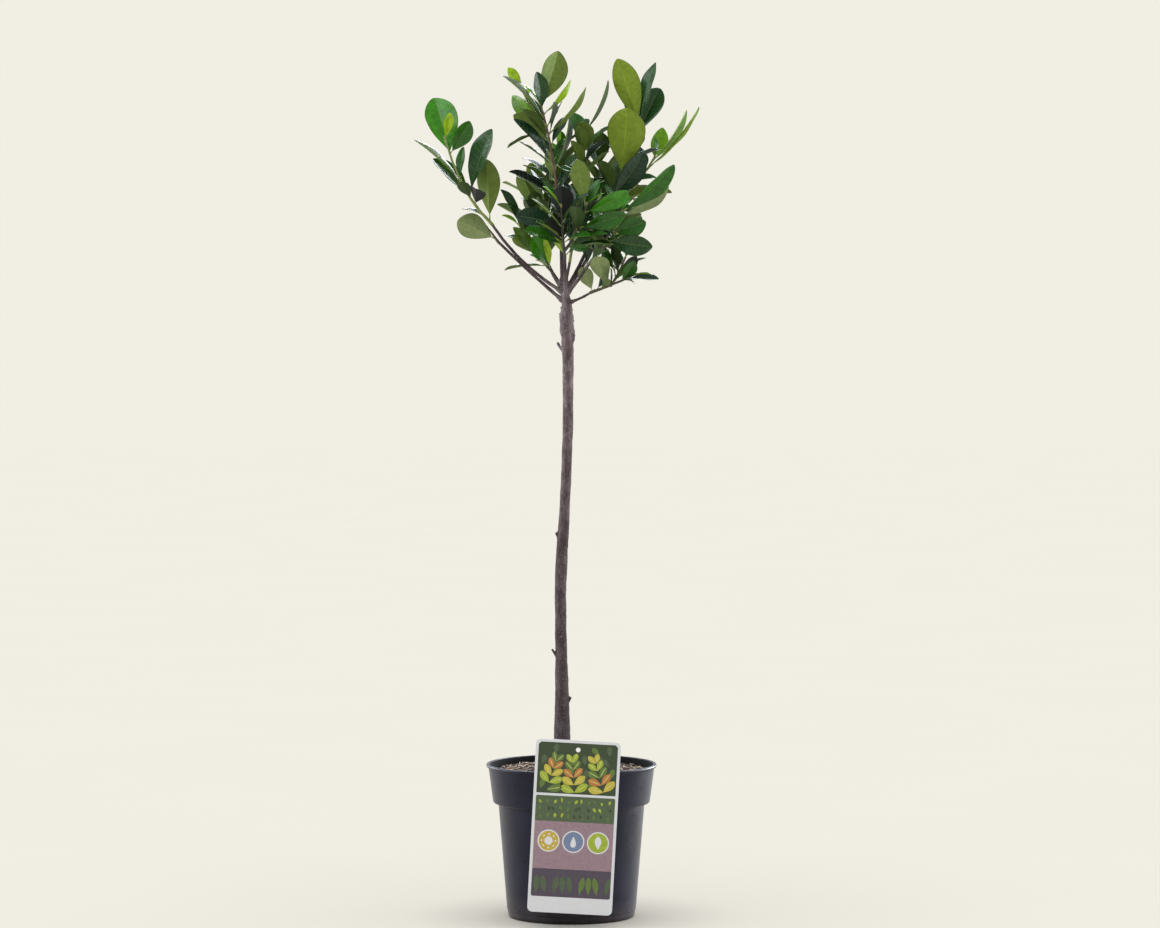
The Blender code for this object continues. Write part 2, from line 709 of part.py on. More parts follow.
def build_pot(home, cutters, finish):
    rim_inner = COLLAR_TOP_RADIUS - WALL
    profile = [(0, FLOOR)] + pot_inner() + [
        (rim_inner + 0.8 * MM, POT_HEIGHT),
        (RIM_RADIUS - 0.7 * MM, POT_HEIGHT),
        (RIM_RADIUS, POT_HEIGHT - 0.8 * MM),
        (RIM_RADIUS, POT_HEIGHT - LIP_DEPTH),
        (COLLAR_TOP_RADIUS, POT_HEIGHT - LIP_DEPTH - 1 * MM),
        (COLLAR_FOOT_RADIUS, COLLAR_FOOT_HEIGHT),
        (COLLAR_FOOT_RADIUS - 1.5 * MM, COLLAR_FOOT_HEIGHT - 1.6 * MM),
        (BODY_TOP_RADIUS, COLLAR_FOOT_HEIGHT - LEDGE),
        (BODY_FOOT_RADIUS, FOOT_HEIGHT + 0.4 * MM),
        (FOOT_RADIUS, FOOT_HEIGHT - 0.4 * MM),
        (FOOT_RADIUS - 0.4 * MM, BASE_ROUNDING),
        (FOOT_RADIUS - BASE_ROUNDING * 0.4, BASE_ROUNDING * 0.3),
        (FOOT_RADIUS - BASE_ROUNDING, 0),
        (0, 0),
    ]
    pot = turned("pot", profile, finish, home)
    for k in range(DRAIN_COUNT):
        angle = 2 * math.pi * (k + 0.5) / DRAIN_COUNT
        place = (DRAIN_CIRCLE * math.cos(angle), DRAIN_CIRCLE * math.sin(angle), FLOOR / 2)
        bpy.ops.mesh.primitive_cylinder_add(
            vertices=DRAIN_FACETS, radius=DRAIN_RADIUS, depth=FLOOR * 4, location=place
        )
        cutter = bpy.context.active_object
        cutter.name = f"drain_cutter_{k}"
        cutter.hide_render = True
        cutter.display_type = "WIRE"
        for holder in list(cutter.users_collection):
            holder.objects.unlink(cutter)
        cutters.objects.link(cutter)
    drains = pot.modifiers.new("drains", "BOOLEAN")
    drains.operation = "DIFFERENCE"
    drains.solver = "EXACT"
    drains.operand_type = "COLLECTION"
    drains.collection = cutters


def build_soil(home, finish):
    """The root ball and potting soil, one solid that fills the pot to just under its rim."""
    floor_edge, ledge_foot, ledge_top, rim = pot_inner(GAP)
    share = (SOIL_EDGE_HEIGHT - ledge_top[1]) / (rim[1] - ledge_top[1])
    edge_radius = ledge_top[0] + (rim[0] - ledge_top[0]) * share
    profile = [
        (0, SOIL_CROWN_HEIGHT),
        (SOIL_CROWN_RADIUS, SOIL_CROWN_HEIGHT),
        (edge_radius, SOIL_EDGE_HEIGHT),
        (ledge_top[0], ledge_top[1] + GAP),
        (ledge_foot[0], ledge_foot[1] + GAP),
        (floor_edge[0], FLOOR + GAP),
        (0, FLOOR + GAP),
    ]
    turned("soil", profile, finish, home)


# Label
def arc(centre_x, centre_y, radius, first, last, steps):
    """Points of an arc, with its angles in degrees."""
    angles = [math.radians(first + (last - first) * i / steps) for i in range(steps + 1)]
    return [(centre_x + radius * math.cos(a), centre_y + radius * math.sin(a)) for a in angles]


def plate(name, outlines, thickness, finish, home):
    """A flat plate from closed outlines in its own X-Y plane, the first outside and the others holes."""
    curve = bpy.data.curves.new(name, "CURVE")
    curve.dimensions = "2D"
    curve.fill_mode = "BOTH"
    curve.extrude = thickness / 2
    for outline in outlines:
        spline = curve.splines.new("POLY")
        spline.points.add(len(outline) - 1)
        for point, (x, y) in zip(spline.points, outline):
            point.co = (x, y, 0, 1)
        spline.use_cyclic_u = True
    curve.materials.append(finish)
    obj = bpy.data.objects.new(name, curve)
    home.objects.link(obj)
    return obj


def build_label(home, card_finish, hook_finish):
    side, top = LABEL_WIDTH / 2 - LABEL_CORNER, LABEL_HEIGHT / 2 - LABEL_CORNER
    card_outline = (
        arc(side, top, LABEL_CORNER, 0, 90, 4)
        + arc(-side, top, LABEL_CORNER, 90, 180, 4)
        + arc(-side, -top, LABEL_CORNER, 180, 270, 4)
        + arc(side, -top, LABEL_CORNER, 270, 360, 4)
    )
    hole = arc(0, LABEL_HEIGHT / 2 - LABEL_HOLE_BELOW_TOP, LABEL_HOLE_RADIUS, 0, 330, 11)
    card = plate("label_card", [card_outline, hole], LABEL_THICKNESS, card_finish, home)
    hook_front = RIM_RADIUS + GAP + HOOK_THICKNESS
    card.location = (LABEL_CENTRE[0], -(hook_front + GAP + LABEL_THICKNESS / 2), LABEL_CENTRE[1])
    card.rotation_mode = "QUATERNION"
    upright = Quaternion((1, 0, 0), math.radians(90))
    card.rotation_quaternion = Quaternion((0, 1, 0), LABEL_TURN) @ upright

    wall_lean = (COLLAR_TOP_RADIUS - COLLAR_FOOT_RADIUS) / (POT_HEIGHT - COLLAR_FOOT_HEIGHT)
    wall_radius = COLLAR_TOP_RADIUS - WALL - wall_lean * HOOK_BACK_DROP
    back_over = math.sqrt(wall_radius**2 - (LABEL_CENTRE[0] + HOOK_WIDTH / 2) ** 2) - 2 * GAP
    back_under = back_over - HOOK_THICKNESS
    top_under, top_over = POT_HEIGHT + GAP, POT_HEIGHT + GAP + HOOK_THICKNESS
    front_under = RIM_RADIUS + GAP
    hook_outline = [
        (front_under, POT_HEIGHT - HOOK_FRONT_DROP),
        (hook_front, POT_HEIGHT - HOOK_FRONT_DROP),
        (hook_front, top_over),
        (back_under, top_over),
        (back_under, POT_HEIGHT - HOOK_BACK_DROP),
        (back_over, POT_HEIGHT - HOOK_BACK_DROP),
        (back_over, top_under),
        (front_under, top_under),
    ]
    hook = plate("label_hook", [hook_outline], HOOK_WIDTH, hook_finish, home)
    hook.location = (LABEL_CENTRE[0], 0, 0)
    hook.rotation_mode = "QUATERNION"
    hook.rotation_quaternion = Quaternion((0, 0, 1), math.radians(-90)) @ upright


def main():
    clear_scene()
    plant = collection("potted_cherry_laurel")
    cutters = collection("cutters")
    bark = material("bark", (0.095, 0.072, 0.062), 0.85)
    leafage = material("leaf", (0.035, 0.085, 0.018), 0.35)
    plastic = material("pot_plastic", (0.022, 0.022, 0.032), 0.42)
    earth = material("potting_soil", (0.05, 0.028, 0.018), 0.95)
    card = material("label_card", (0.72, 0.72, 0.7), 0.4)
    clip = material("label_clip", (0.8, 0.8, 0.8), 0.35)
    build_pot(plant, cutters, plastic)
    build_soil(plant, earth)
    build_trunk(plant, bark)
    boughs = grow_boughs()
    build_boughs(boughs, plant, bark)
    build_foliage(boughs, plant, leafage)
    build_label(plant, card, clip)


main()
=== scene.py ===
"""Potted standard cherry laurel, dressed: leaves, twigs, bark, pot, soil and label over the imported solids.

Metres, +Z up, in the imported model's frame. Right is +X and the camera stands at -Y.
"""

import random
from collections import namedtuple
from math import atan2, cos, dist, exp, hypot, pi, radians, sin, sqrt

import bpy
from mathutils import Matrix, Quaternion, Vector, noise
from mathutils.bvhtree import BVHTree


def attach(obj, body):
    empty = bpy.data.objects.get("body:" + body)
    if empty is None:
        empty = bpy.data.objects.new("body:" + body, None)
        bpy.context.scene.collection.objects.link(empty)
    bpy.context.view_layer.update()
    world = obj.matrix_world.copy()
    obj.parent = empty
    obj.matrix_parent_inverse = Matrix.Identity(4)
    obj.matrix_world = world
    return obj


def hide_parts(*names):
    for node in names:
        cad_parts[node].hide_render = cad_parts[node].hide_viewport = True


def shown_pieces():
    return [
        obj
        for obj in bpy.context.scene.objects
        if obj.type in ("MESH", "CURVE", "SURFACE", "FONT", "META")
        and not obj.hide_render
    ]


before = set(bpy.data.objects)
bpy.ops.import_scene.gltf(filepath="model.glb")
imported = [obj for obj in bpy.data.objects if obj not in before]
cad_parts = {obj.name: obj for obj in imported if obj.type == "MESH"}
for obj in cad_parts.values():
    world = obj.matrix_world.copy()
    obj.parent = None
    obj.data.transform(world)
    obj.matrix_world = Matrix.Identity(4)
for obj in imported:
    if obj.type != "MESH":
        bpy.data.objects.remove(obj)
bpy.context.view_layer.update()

MM = 0.001
GAP = 0.3 * MM
VIEWER = Vector((0, -1, 0))
SKY = Vector((0, 0, 1))

# Trunk: height above the ground, lean to the right and to the back, and radius, in millimetres
TRUNK = [
    (184.8, -11.5, 0, 13.0),
    (191, -11.5, 0, 11.4),
    (202, -11.5, 0, 10.6),
    (262, -11.7, 1, 8.9),
    (322, -12.6, 1.6, 7.4),
    (392, -13.6, 2, 7.0),
    (441, -12.2, 2, 7.3),
    (502, -8.6, 1, 6.4),
    (608, -4.3, 0, 6.4),
    (703, -4.6, 0.3, 7.2),
    (722, -5.5, 0.5, 8.8),
    (741, -6.3, 0.4, 8.6),
    (753, -5.8, 0, 6.5),
    (769, -7.6, 0, 4.8),
    (783, -10.4, 0.5, 3.5),
]
TRUNK_RINGS_PER_STATION = 2
TRUNK_SIDES = 12

# Pruned side twigs on the trunk: height, compass heading, length and radius
STUBS = [
    (694, 178, 17, 1.5),
    (318, 196, 15, 1.7),
    (468, 184, 8, 2.8),
    (262, 350, 11, 2.4),
    (735, 75, 13, 2.6),
]
STUB_CLIMB = radians(58)

# Boughs: height on the trunk, tip, bow and the two radii, in millimetres. A bow above 0 runs out, then climbs
Bough = namedtuple("Bough", "height tip bow base_radius tip_radius")
BOUGHS = {
    "left": Bough(768, (-97, -12, 853), 0.11, 2.3, 1.8),
    "left_low": Bough(756, (-90, 16, 832), 0.02, 2.3, 1.8),
    "left_inner": Bough(773, (-25, 14, 797), 0.0, 2.1, 1.9),
    "leader": Bough(783, (-13, 4, 850), -0.1, 3.3, 2.6),
    "centre": Bough(775, (-2, -11, 808), 0.02, 2.1, 1.9),
    "right": Bough(771, (30, 2, 850), 0.06, 2.4, 2.0),
    "right_mid": Bough(766, (18, -18, 800), 0.04, 2.1, 1.9),
    "right_low": Bough(756, (24, -6, 770), 0.06, 1.8, 1.6),
    "front": Bough(764, (-8, -48, 812), 0.08, 2.4, 2.0),
    "back_left": Bough(767, (-34, 50, 818), 0.08, 2.4, 2.0),
    "back_right": Bough(771, (26, 54, 826), 0.08, 2.4, 2.0),
}

# Shoots: the mass of foliage, and at which share of its first shoot this one starts, where it isn't the first
# itself. Then tip in millimetres, bow, leaves set by rule, turn of the first leaf, and leaf size
Shoot = namedtuple("Shoot", "mass start tip bow leaves turn size")
SHOOTS = {
    "left": Shoot("left", 0, (-154, -36, 957), 0.16, 5, 200, 0.6),
    "left_low": Shoot("left_low", 0, (-104, 20, 850), 0.0, 2, 100, 0.5),
    "left_inner": Shoot("left_inner", 0, (-64, 30, 852), 0.1, 8, 20, 0.66),
    "leader": Shoot("leader", 0, (-37, 6, 998), -0.15, 22, 75, 0.85),
    "leader_young": Shoot("leader", 0.84, (-61, 12, 1019), 0.1, 2, 40, 0.45),
    "centre": Shoot("centre", 0, (17, 4, 966), 0.06, 18, 200, 0.78),
    "right": Shoot("right", 0, (84, -2, 970), 0.08, 10, 30, 0.85),
    "right_far": Shoot("right", 0.12, (102, 30, 936), 0.12, 6, 165, 0.8),
    "right_mid": Shoot("right_mid", 0, (60, -46, 868), 0.06, 13, 250, 0.7),
    "right_low": Shoot("right_low", 0, (78, -18, 792), 0.04, 10, 200, 0.54),
    "right_low_back": Shoot("right_low", 0.45, (66, 14, 812), 0.1, 7, 10, 0.56),
    "front": Shoot("front", 0, (-12, -90, 874), 0.14, 13, 0, 0.82),
    "front_right": Shoot("front", 0.15, (18, -86, 876), 0.14, 11, 120, 0.8),
    "back_left": Shoot("back_left", 0, (-44, 108, 902), 0.14, 14, 60, 0.88),
    "back_top": Shoot("back_left", 0.2, (-14, 66, 935), -0.05, 12, 200, 0.88),
    "back_right": Shoot("back_right", 0, (52, 108, 896), 0.14, 13, 30, 0.95),
    "back_right_top": Shoot("back_right", 0.2, (36, 60, 942), 0.0, 12, 140, 0.88),
}

# Leaves of the crown's face: shoot, share of its length, how far right and how high the leaf's tip is, how
# much nearer to the viewer it is than its root, width, degrees that its upper side is turned away, and tint
FaceLeaf = namedtuple("FaceLeaf", "shoot at right height toward width turn tint")
FACE_LEAVES = [
    ("left", 0.79, -169, 1012, -16, 44, 14, "lit"),
    ("left", 0.84, -124, 979, 14, 25, 25, "mid"),
    ("left", 0.47, -194, 958, 4, 28, 84, "sheen"),
    ("left", 0.30, -172, 936, -8, 32, 48, "mid"),
    ("left", 0.37, -97, 970, -4, 32, -38, "dark"),
    ("left", 0.03, -104, 933, 10, 31, 172, "olive"),
    ("left", 0.26, -117, 897, 42, 24, 150, "shade"),
    ("left", 1.00, -148, 989, 10, 14, 20, "young"),
    ("left_low", 0.15, -142, 859, 6, 35, 168, "pale"),
    ("left_inner", 0.08, -48, 839, 18, 28, 20, "lit"),
    ("left_inner", 0.25, -72, 850, 16, 17, 28, "olive"),
    ("left_inner", 0.06, -58, 822, 10, 11, 120, "pale"),
    ("left_inner", 0.95, -88, 897, 6, 24, 60, "dark"),
    ("left_inner", 0.12, -83, 797, -16, 20, 88, "dark"),
    ("leader", 1.00, -16, 1066, 4, 37, 160, "olive"),
    ("leader", 0.96, -43, 1044, -6, 24, 30, "dark"),
    ("leader", 0.90, -84, 1035, 12, 28, 82, "sheen"),
    ("leader", 0.78, -73, 1012, -14, 22, -20, "fresh"),
    ("leader", 0.70, -71, 988, 10, 26, 150, "olive"),
    ("leader", 0.50, -71, 982, 16, 26, 62, "deep"),
    ("leader", 0.80, -95, 943, 2, 18, 88, "sheen"),
    ("leader", 0.93, -1, 1032, -14, 16, 60, "young"),
    ("leader", 0.76, 18, 1022, 10, 19, 118, "olive"),
    ("leader", 0.82, -22, 1003, 20, 22, 72, "sheen"),
    ("leader", 0.46, -3, 983, 20, 26, 78, "sheen"),
    ("leader", 0.22, -77, 918, 8, 28, 64, "shade"),
    ("leader_young", 0.97, -78, 1046, 2, 14, 20, "young"),
    ("leader_young", 0.78, -55, 1037, -10, 11, 30, "young"),
    ("centre", 1.00, 45, 1031, 0, 26, 84, "dark"),
    ("centre", 0.83, 14, 987, 10, 28, 158, "olive"),
    ("front_right", 0.85, 69, 893, 6, 26, 28, "lit"),
    ("right", 1.00, 56, 1056, 8, 36, 164, "fresh"),
    ("right", 0.50, 68, 995, 30, 51, 172, "fresh"),
    ("right", 0.93, 110, 1025, -20, 33, -12, "dark"),
    ("right", 0.99, 104, 1051, -36, 24, -45, "dark"),
    ("right", 0.26, 89, 942, 12, 32, 22, "deep"),
    ("right_far", 0.97, 113, 974, -28, 23, 165, "lit"),
    ("right_far", 0.90, 142, 995, 2, 28, 72, "fresh"),
    ("right_far", 0.82, 157, 998, 14, 24, 86, "fresh"),
    ("right_mid", 0.98, 125, 926, 10, 32, 50, "mid"),
    ("right_mid", 0.66, 91, 856, 8, 27, 15, "mid"),
    ("right_mid", 0.51, 99, 826, 10, 28, 12, "dark"),
    ("right_low", 0.37, 30, 814, 24, 26, 172, "pale"),
    ("right_low", 0.68, 77, 809, 16, 19, 24, "mid"),
    ("right_low_back", 0.40, 80, 815, 6, 17, 30, "shade"),
    ("right_low", 0.03, 12, 800, 14, 21, 168, "pale"),
    ("front", 0.80, -12, 900, 12, 32, 172, "shade"),
    ("front", 0.30, -24, 862, 12, 29, 168, "shade"),
    ("leader", 0.02, -68, 864, 12, 27, 20, "deep"),
    ("right_mid", 0.90, 120, 900, 16, 24, 140, "pale"),
    ("front", 0.03, 25, 857, 8, 18, 40, "dark"),
    ("front", 0.06, -20, 840, 8, 14, 158, "fresh"),
    ("front_right", 0.55, 66, 866, 8, 24, 20, "mid"),
    ("front_right", 0.96, 7, 931, 8, 26, 176, "olive"),
    ("left_inner", 0.02, -34, 838, 26, 11, 30, "young"),
    ("right_mid", 0.02, 18, 846, 8, 18, 20, "deep"),
]

# Leaf growth
SEED = 23
PHYLLOTAXIS = radians(144)
LEAF_LENGTH = 72 * MM
LEAF_WIDTH_SHARE = 0.4
PETIOLE_SHARE = 0.12
PETIOLE_RADIUS = 0.7 * MM
LEAF_THICKNESS = 1.0 * MM
LOWEST_LEAF_AT = 0.12
LEAN_AT_FOOT = radians(64)
LEAN_AT_TIP = radians(30)
YOUNG_LEAVES = 2
YOUNG_SIZE = 0.6
SKY_PULL = 0.7
RISE = 0.3
RULE_TURNS = {0: 1, 20: 1, 42: 0.92, 68: 0.85, 95: 0.75}
RULE_RETRIES = [(turn * side, size) for turn, size in RULE_TURNS.items() for side in (1, -1)]
FACE_TILTS = (0, 6, 12, 18, 25, 33, 42)
FACE_RETRIES = [(tilt * side, 1 - tilt / 300) for tilt in FACE_TILTS for side in (1, -1)]
SPARE = 0.45 * MM
LEAF_BALL = 0.62

# Shoots with slimmer leaves, and shoots whose stem stays in view, with how far towards the viewer their rule
# leaves may point
SLIM_LEAVES = {"leader": 0.72}
STEM_SHOWS = {"leader": 0.3, "front": 0.62}

# Shape of a leaf
FACE_CURL = radians(18)
FACE_FOLD = radians(22)
BLADE_STATIONS = [0.22, 0.57, 0.86]
BLADE_SKEW = 1.32

SHOOT_FOOT_RADIUS = 1.9 * MM
SHOOT_TIP_RADIUS = 1.0 * MM
SHOOT_SIDES = 5
LIMB_STEPS = 5
BOUGH_SIDES = 8
BOUGH_FOOT_STEP = 0.25 * MM
BOUGH_FOOT_TRIES = 200

# Finer growth, on the same rule: short spurs in the crown's core
TINT_SEED = 3
SPUR_SEED = 7
SPURS_PER_SHOOT = 9
SPUR_LENGTH = (11 * MM, 24 * MM)
SPUR_RADII = (1.0 * MM, 0.6 * MM)
SPUR_BOW = 0.1
SPUR_STEPS = 4
SPUR_SIDES = 5
SPUR_LEAVES = (0.55, 0.85, 1.0)
SPUR_LEAF_SIZE = (0.42, 0.66)
SPUR_LEAF_FOLD = radians(18)
SPUR_LEAN = radians(55)
SPUR_TIP_LEAN = radians(20)
CORE_CENTRE = Vector((8, 2, 862)) * MM
CORE_REACH = Vector((80, 104, 74)) * MM

# Fine leaf: shares of the blade's length, of its half width, and heights in metres
VEINS = 9
SPUR_VEINS = 6
VEIN_SLANT = 0.11
VEIN_BAND = 0.008
VEIN_SINK = 0.07 * MM
SWELL = 0.18 * MM
VEIN_REACH = 0.8
RIB = 0.04
RIM = 0.965
LEAF_COLUMNS = [1, 0.955, 0.8, 0.55, 0.3, RIB, 0]
BLADE_THICKNESS = 0.55 * MM
RIB_HEIGHT = 0.6 * MM

# Leaf tints as the upper and the under side's colour, each 0 to 255
TINTS = {
    # Painted shade: a leaf darkened for the shadow it lies in
    "shade": ((24, 32, 26), (30, 32, 30)),
    "deep": ((18, 50, 30), (56, 76, 40)),
    "dark": ((26, 66, 22), (74, 94, 44)),
    "mid": ((36, 90, 14), (94, 114, 50)),
    "olive": ((68, 100, 26), (98, 116, 50)),
    "pale": ((66, 92, 44), (130, 144, 96)),
    # Painted light: a leaf brightened for the light it takes
    "lit": ((52, 124, 6), (96, 138, 18)),
    "fresh": ((84, 126, 18), (118, 138, 44)),
    "young": ((148, 182, 16), (152, 178, 34)),
    # Painted reflection: a whitish grey upper side for a glossy sheen
    "sheen": ((112, 124, 110), (84, 102, 50)),
}
LEAF_GRAIN = 0.03 * MM
RULE_TINTS = ["deep"] * 5 + ["dark"] * 6 + ["mid"] * 4 + ["olive", "deep"]
YOUNG_TINTS = ["mid", "lit", "fresh"]

# Stems: the bark's colour, and the shoots that have it. Brown is for all others
STEMS = {
    "stem_red": ((104, 74, 66), ["leader"]),
    "stem_green": ((124, 134, 70), ["left", "leader_young", "right_far", "centre"]),
    # Painted shade: the dark olive bark of the shoots inside the crown's front stands for the shadow they lie
    # in
    "stem_dark": ((44, 50, 34), ["front", "front_right", "left_inner"]),
    "stem_brown": ((84, 78, 58), []),
}
STEM_FINISHES = {shoot: finish for finish, (_, shoots) in STEMS.items() for shoot in shoots}

# Pot and soil, repeated from the solids: radii are of the outer side
POT_HEIGHT = 189 * MM
RIM_RADIUS = 105 * MM
LIP_DEPTH = 3.5 * MM
COLLAR_TOP_RADIUS = 102.4 * MM
COLLAR_FOOT_RADIUS = 96.8 * MM
COLLAR_FOOT_HEIGHT = 142.5 * MM
BODY_TOP_RADIUS = 90.2 * MM
BODY_FOOT_RADIUS = 79.6 * MM
FOOT_HEIGHT = 9 * MM
FOOT_RADIUS = 78.8 * MM
BASE_ROUNDING = 3.5 * MM
WALL = 1.8 * MM
FLOOR = 2.6 * MM
LEDGE_HEIGHT = COLLAR_FOOT_HEIGHT - 2.2 * MM
DRAIN_COUNT = 8
DRAIN_RADIUS = 5.5 * MM
DRAIN_CIRCLE = 61 * MM
DRAIN_FACETS = 24
POT_FACETS = 192
SOIL_EDGE_HEIGHT = 180 * MM
SOIL_CROWN_HEIGHT = 184.5 * MM
SOIL_CROWN_RADIUS = 32 * MM
SOIL_RADIUS = 98.4 * MM
SOIL_RINGS = 64
SOIL_FACETS = 192
LITTER_SEED = 11

# Loose bits on the soil: how many, and their colour
LITTER = {
    "chip_dark": (300, (26, 16, 15)),
    "chip_brown": (240, (76, 46, 36)),
    "chip_tan": (150, (172, 128, 100)),
    "fibre": (150, (226, 204, 176)),
}

# Bark
BARK_VOXEL = 0.8 * MM
BARK_TRUNK_SIDES = 24
BARK_BOUGH_SIDES = 12
KNOB_SEED = 5
KNOBS = 26
KNOB_HEIGHTS = (700, 752)
HEAD_HEIGHT = 0.725
HEAD_REACH = 0.026
FORK_HEIGHT = 0.768

# Label
LABEL_CENTRE = (3.3 * MM, 123.5 * MM)
LABEL_TURN = radians(3.1)
LABEL_FRONT = -107.6 * MM
LABEL_HOLE = (0, 94)
LABEL_HOLE_RADIUS = 2.9
PRINT_LAYER = 0.06
PRINT_HALF_WIDTH = 48
PRINT_SEED = 3
PRINT_COLOURS = {
    "print_leaf_dark": (44, 62, 30),
    "print_leaf_mid": (92, 118, 44),
    "print_leaf_bright": (158, 176, 44),
    "print_leaf_gold": (196, 178, 60),
    "print_leaf_amber": (184, 118, 52),
    "print_leaf_rib": (206, 206, 120),
    "print_hedge": (74, 92, 60),
    "print_mauve": (150, 124, 134),
    "print_plum": (74, 62, 78),
    "print_sun": (196, 168, 62),
    "print_water": (112, 128, 160),
}

# Studio
BACKDROP = (241, 238, 227)
AIM = Vector((0.0105, 0, 0.559))
CAMERA_PITCH = radians(2.6)
CAMERA_DISTANCE = 5.5395
CAMERA_LENS = 4500 / 1160 * 36
DAYLIGHT = 0.55
FLOOR_WASH = 1.42
FLOOR_REACH = 14

# Soft boxes: place, height of the point on the axis that each is turned to, size and power
SOFTBOXES = [
    ((-1.4, -2.2, 3.6), 0.7, (2.6, 2.6), 70),
    ((-2.8, 0.3, 1.2), 0.6, (1.4, 3.0), 95),
    ((2.8, 0.3, 1.2), 0.6, (1.4, 3.0), 95),
    ((0.4, 2.8, 2.6), 0.9, (3.0, 1.4), 150),
]
POT_SOFTBOXES = [
    ((-1.9, 1.6, 0.38), 0.12, (1.6, 0.7), 34),
    ((1.9, 1.6, 0.38), 0.12, (1.6, 0.7), 110),
]

Leaf = namedtuple("Leaf", "root axis upper length width curl fold")


# Lines and lofts
def turns(count):
    """The angles of a full circle in even steps."""
    return [2 * pi * k / count for k in range(count)]


def compass(angle, radius=1.0, height=0.0):
    """A point about the Z axis."""
    return Vector((radius * cos(angle), radius * sin(angle), height))


def rounded(start, knee, tip, steps):
    """A quadratic curve that leaves start towards the knee and comes in to tip from it."""
    shares = [i / steps for i in range(steps + 1)]
    return [start * (1 - t) ** 2 + knee * (2 * t * (1 - t)) + tip * t**2 for t in shares]


def limb_line(start, tip, bow, steps=LIMB_STEPS):
    """A curve from start to tip. With a bow above 0 it runs out before it climbs."""
    run = tip - start
    knee = start + Vector((run.x * (0.5 + bow), run.y * (0.5 + bow), run.z * (0.5 - bow)))
    return rounded(start, knee, tip, steps)


def smooth_line(stations, steps):
    """Catmull-Rom curve through the stations, each a vector of any size."""
    ends = [stations[0]] + list(stations) + [stations[-1]]
    line = []
    for a, b, c, d in zip(ends, ends[1:], ends[2:], ends[3:]):
        for step in range(steps):
            t = step / steps
            square = 2 * a - 5 * b + 4 * c - d
            cube = 3 * b - 3 * c + d - a
            line.append(0.5 * (2 * b + (c - a) * t + square * t**2 + cube * t**3))
    return line + [stations[-1]]


def on_line(line, share):
    """(point, direction) at this share of a polyline's length."""
    lengths = [(b - a).length for a, b in zip(line, line[1:])]
    left = share * sum(lengths)
    for a, b, length in zip(line, line[1:], lengths):
        if left <= length:
            break
        left -= length
    else:
        left = length
    return a.lerp(b, left / length), (b - a).normalized()


def loft(rings, tip=None):
    """(points, faces) of a closed skin over rings of equal count, ending in a cap or in the point tip."""
    count = len(rings[0])
    points = [p for ring in rings for p in ring]
    faces = [tuple(reversed(range(count)))]
    for first in range(0, len(points) - count, count):
        for i in range(count):
            j = (i + 1) % count
            faces.append((first + i, first + j, first + count + j, first + count + i))
    last = len(points) - count
    if tip is None:
        faces.append(tuple(range(last, last + count)))
    else:
        faces += [(last + i, last + (i + 1) % count, len(points)) for i in range(count)]
        points.append(tip)
    return points, faces


def tube(line, radii, sides, tip=None):
    """(points, faces) of a round limb along a polyline."""
    rings = []
    across = SKY.orthogonal()
    for i, (point, radius) in enumerate(zip(line, radii)):
        along = (line[min(i + 1, len(line) - 1)] - line[max(i - 1, 0)]).normalized()
        across = (across - along * across.dot(along)).normalized()
        beside = along.cross(across)
        rings.append([point + (across * cos(a) + beside * sin(a)) * radius for a in turns(sides)])
    return loft(rings, tip)


def tapered(first, last, count):
    return [first + (last - first) * i / (count - 1) for i in range(count)]


# Leaves
def facing(axis, towards):
    return (towards - axis * towards.dot(axis)).normalized()


def outward(along, turn):
    """The direction across a stem, turned about it from the viewer's side."""
    front = facing(along, VIEWER)
    return front * cos(turn) + along.cross(front) * sin(turn)


def leaf_stance(along, turn, lean):
    """(axis, upper) of a leaf that leans out from its stem and looks up."""
    axis = (along * cos(lean) + outward(along, turn) * sin(lean) + SKY * RISE).normalized()
    return axis, facing(axis, along + SKY * SKY_PULL)


def blade_half_width(share):
    """Half the blade's width as a share of its full width: widest past the middle, blunt at the tip."""
    return 0.5 * sin(pi * share**BLADE_SKEW) ** 0.7


def midrib(leaf, share):
    """(point, upper side's direction) at this share of the blade's length."""
    stalk = leaf.length * PETIOLE_SHARE
    radius = (leaf.length - stalk) / leaf.curl
    bend = leaf.curl * share
    arc = leaf.axis * (stalk + radius * sin(bend)) - leaf.upper * (radius * (1 - cos(bend)))
    return leaf.root + arc, leaf.upper * cos(bend) + leaf.axis * sin(bend)


def plain_leaf(leaf):
    """(stalk, blade) of a leaf and its spare room. The blade is folded along its midrib and curls back."""
    across = leaf.axis.cross(leaf.upper)
    stem = PETIOLE_RADIUS + SPARE

    def ring(point, upper, half, rise, depth):
        edge = across * half
        lift = upper * rise
        return [point + edge + lift, point + upper * depth, point - edge + lift, point - upper * depth]

    rings = [ring(leaf.root, leaf.upper, stem, 0, stem), ring(*midrib(leaf, 0), stem, 0, stem)]
    for share in BLADE_STATIONS:
        half = blade_half_width(share) * leaf.width + SPARE
        level, rise = half * cos(leaf.fold), half * sin(leaf.fold)
        rings.append(ring(*midrib(leaf, share), level, rise, LEAF_THICKNESS / 2 + SPARE))
    return loft(rings[:2]), loft(rings[1:], midrib(leaf, 1)[0])


def face_leaf(spec, line):
    """The leaf whose midrib arc ends at the given tip."""
    root, _ = on_line(line, spec.at)
    tip = Vector((spec.right * MM, root.y - spec.toward * MM, spec.height * MM))
    chord = (tip - root).normalized()
    upper = facing(chord, VIEWER)
    upper.rotate(Quaternion(chord, radians(spec.turn)))
    radius = (1 - PETIOLE_SHARE) / FACE_CURL
    reach = PETIOLE_SHARE + radius * sin(FACE_CURL)
    drop = radius * (1 - cos(FACE_CURL))
    lift = atan2(drop, reach)
    axis = chord * cos(lift) + upper * sin(lift)
    upper = upper * cos(lift) - chord * sin(lift)
    length = (tip - root).length / hypot(reach, drop)
    return Leaf(root, axis, upper, length, spec.width * MM, FACE_CURL, FACE_FOLD)


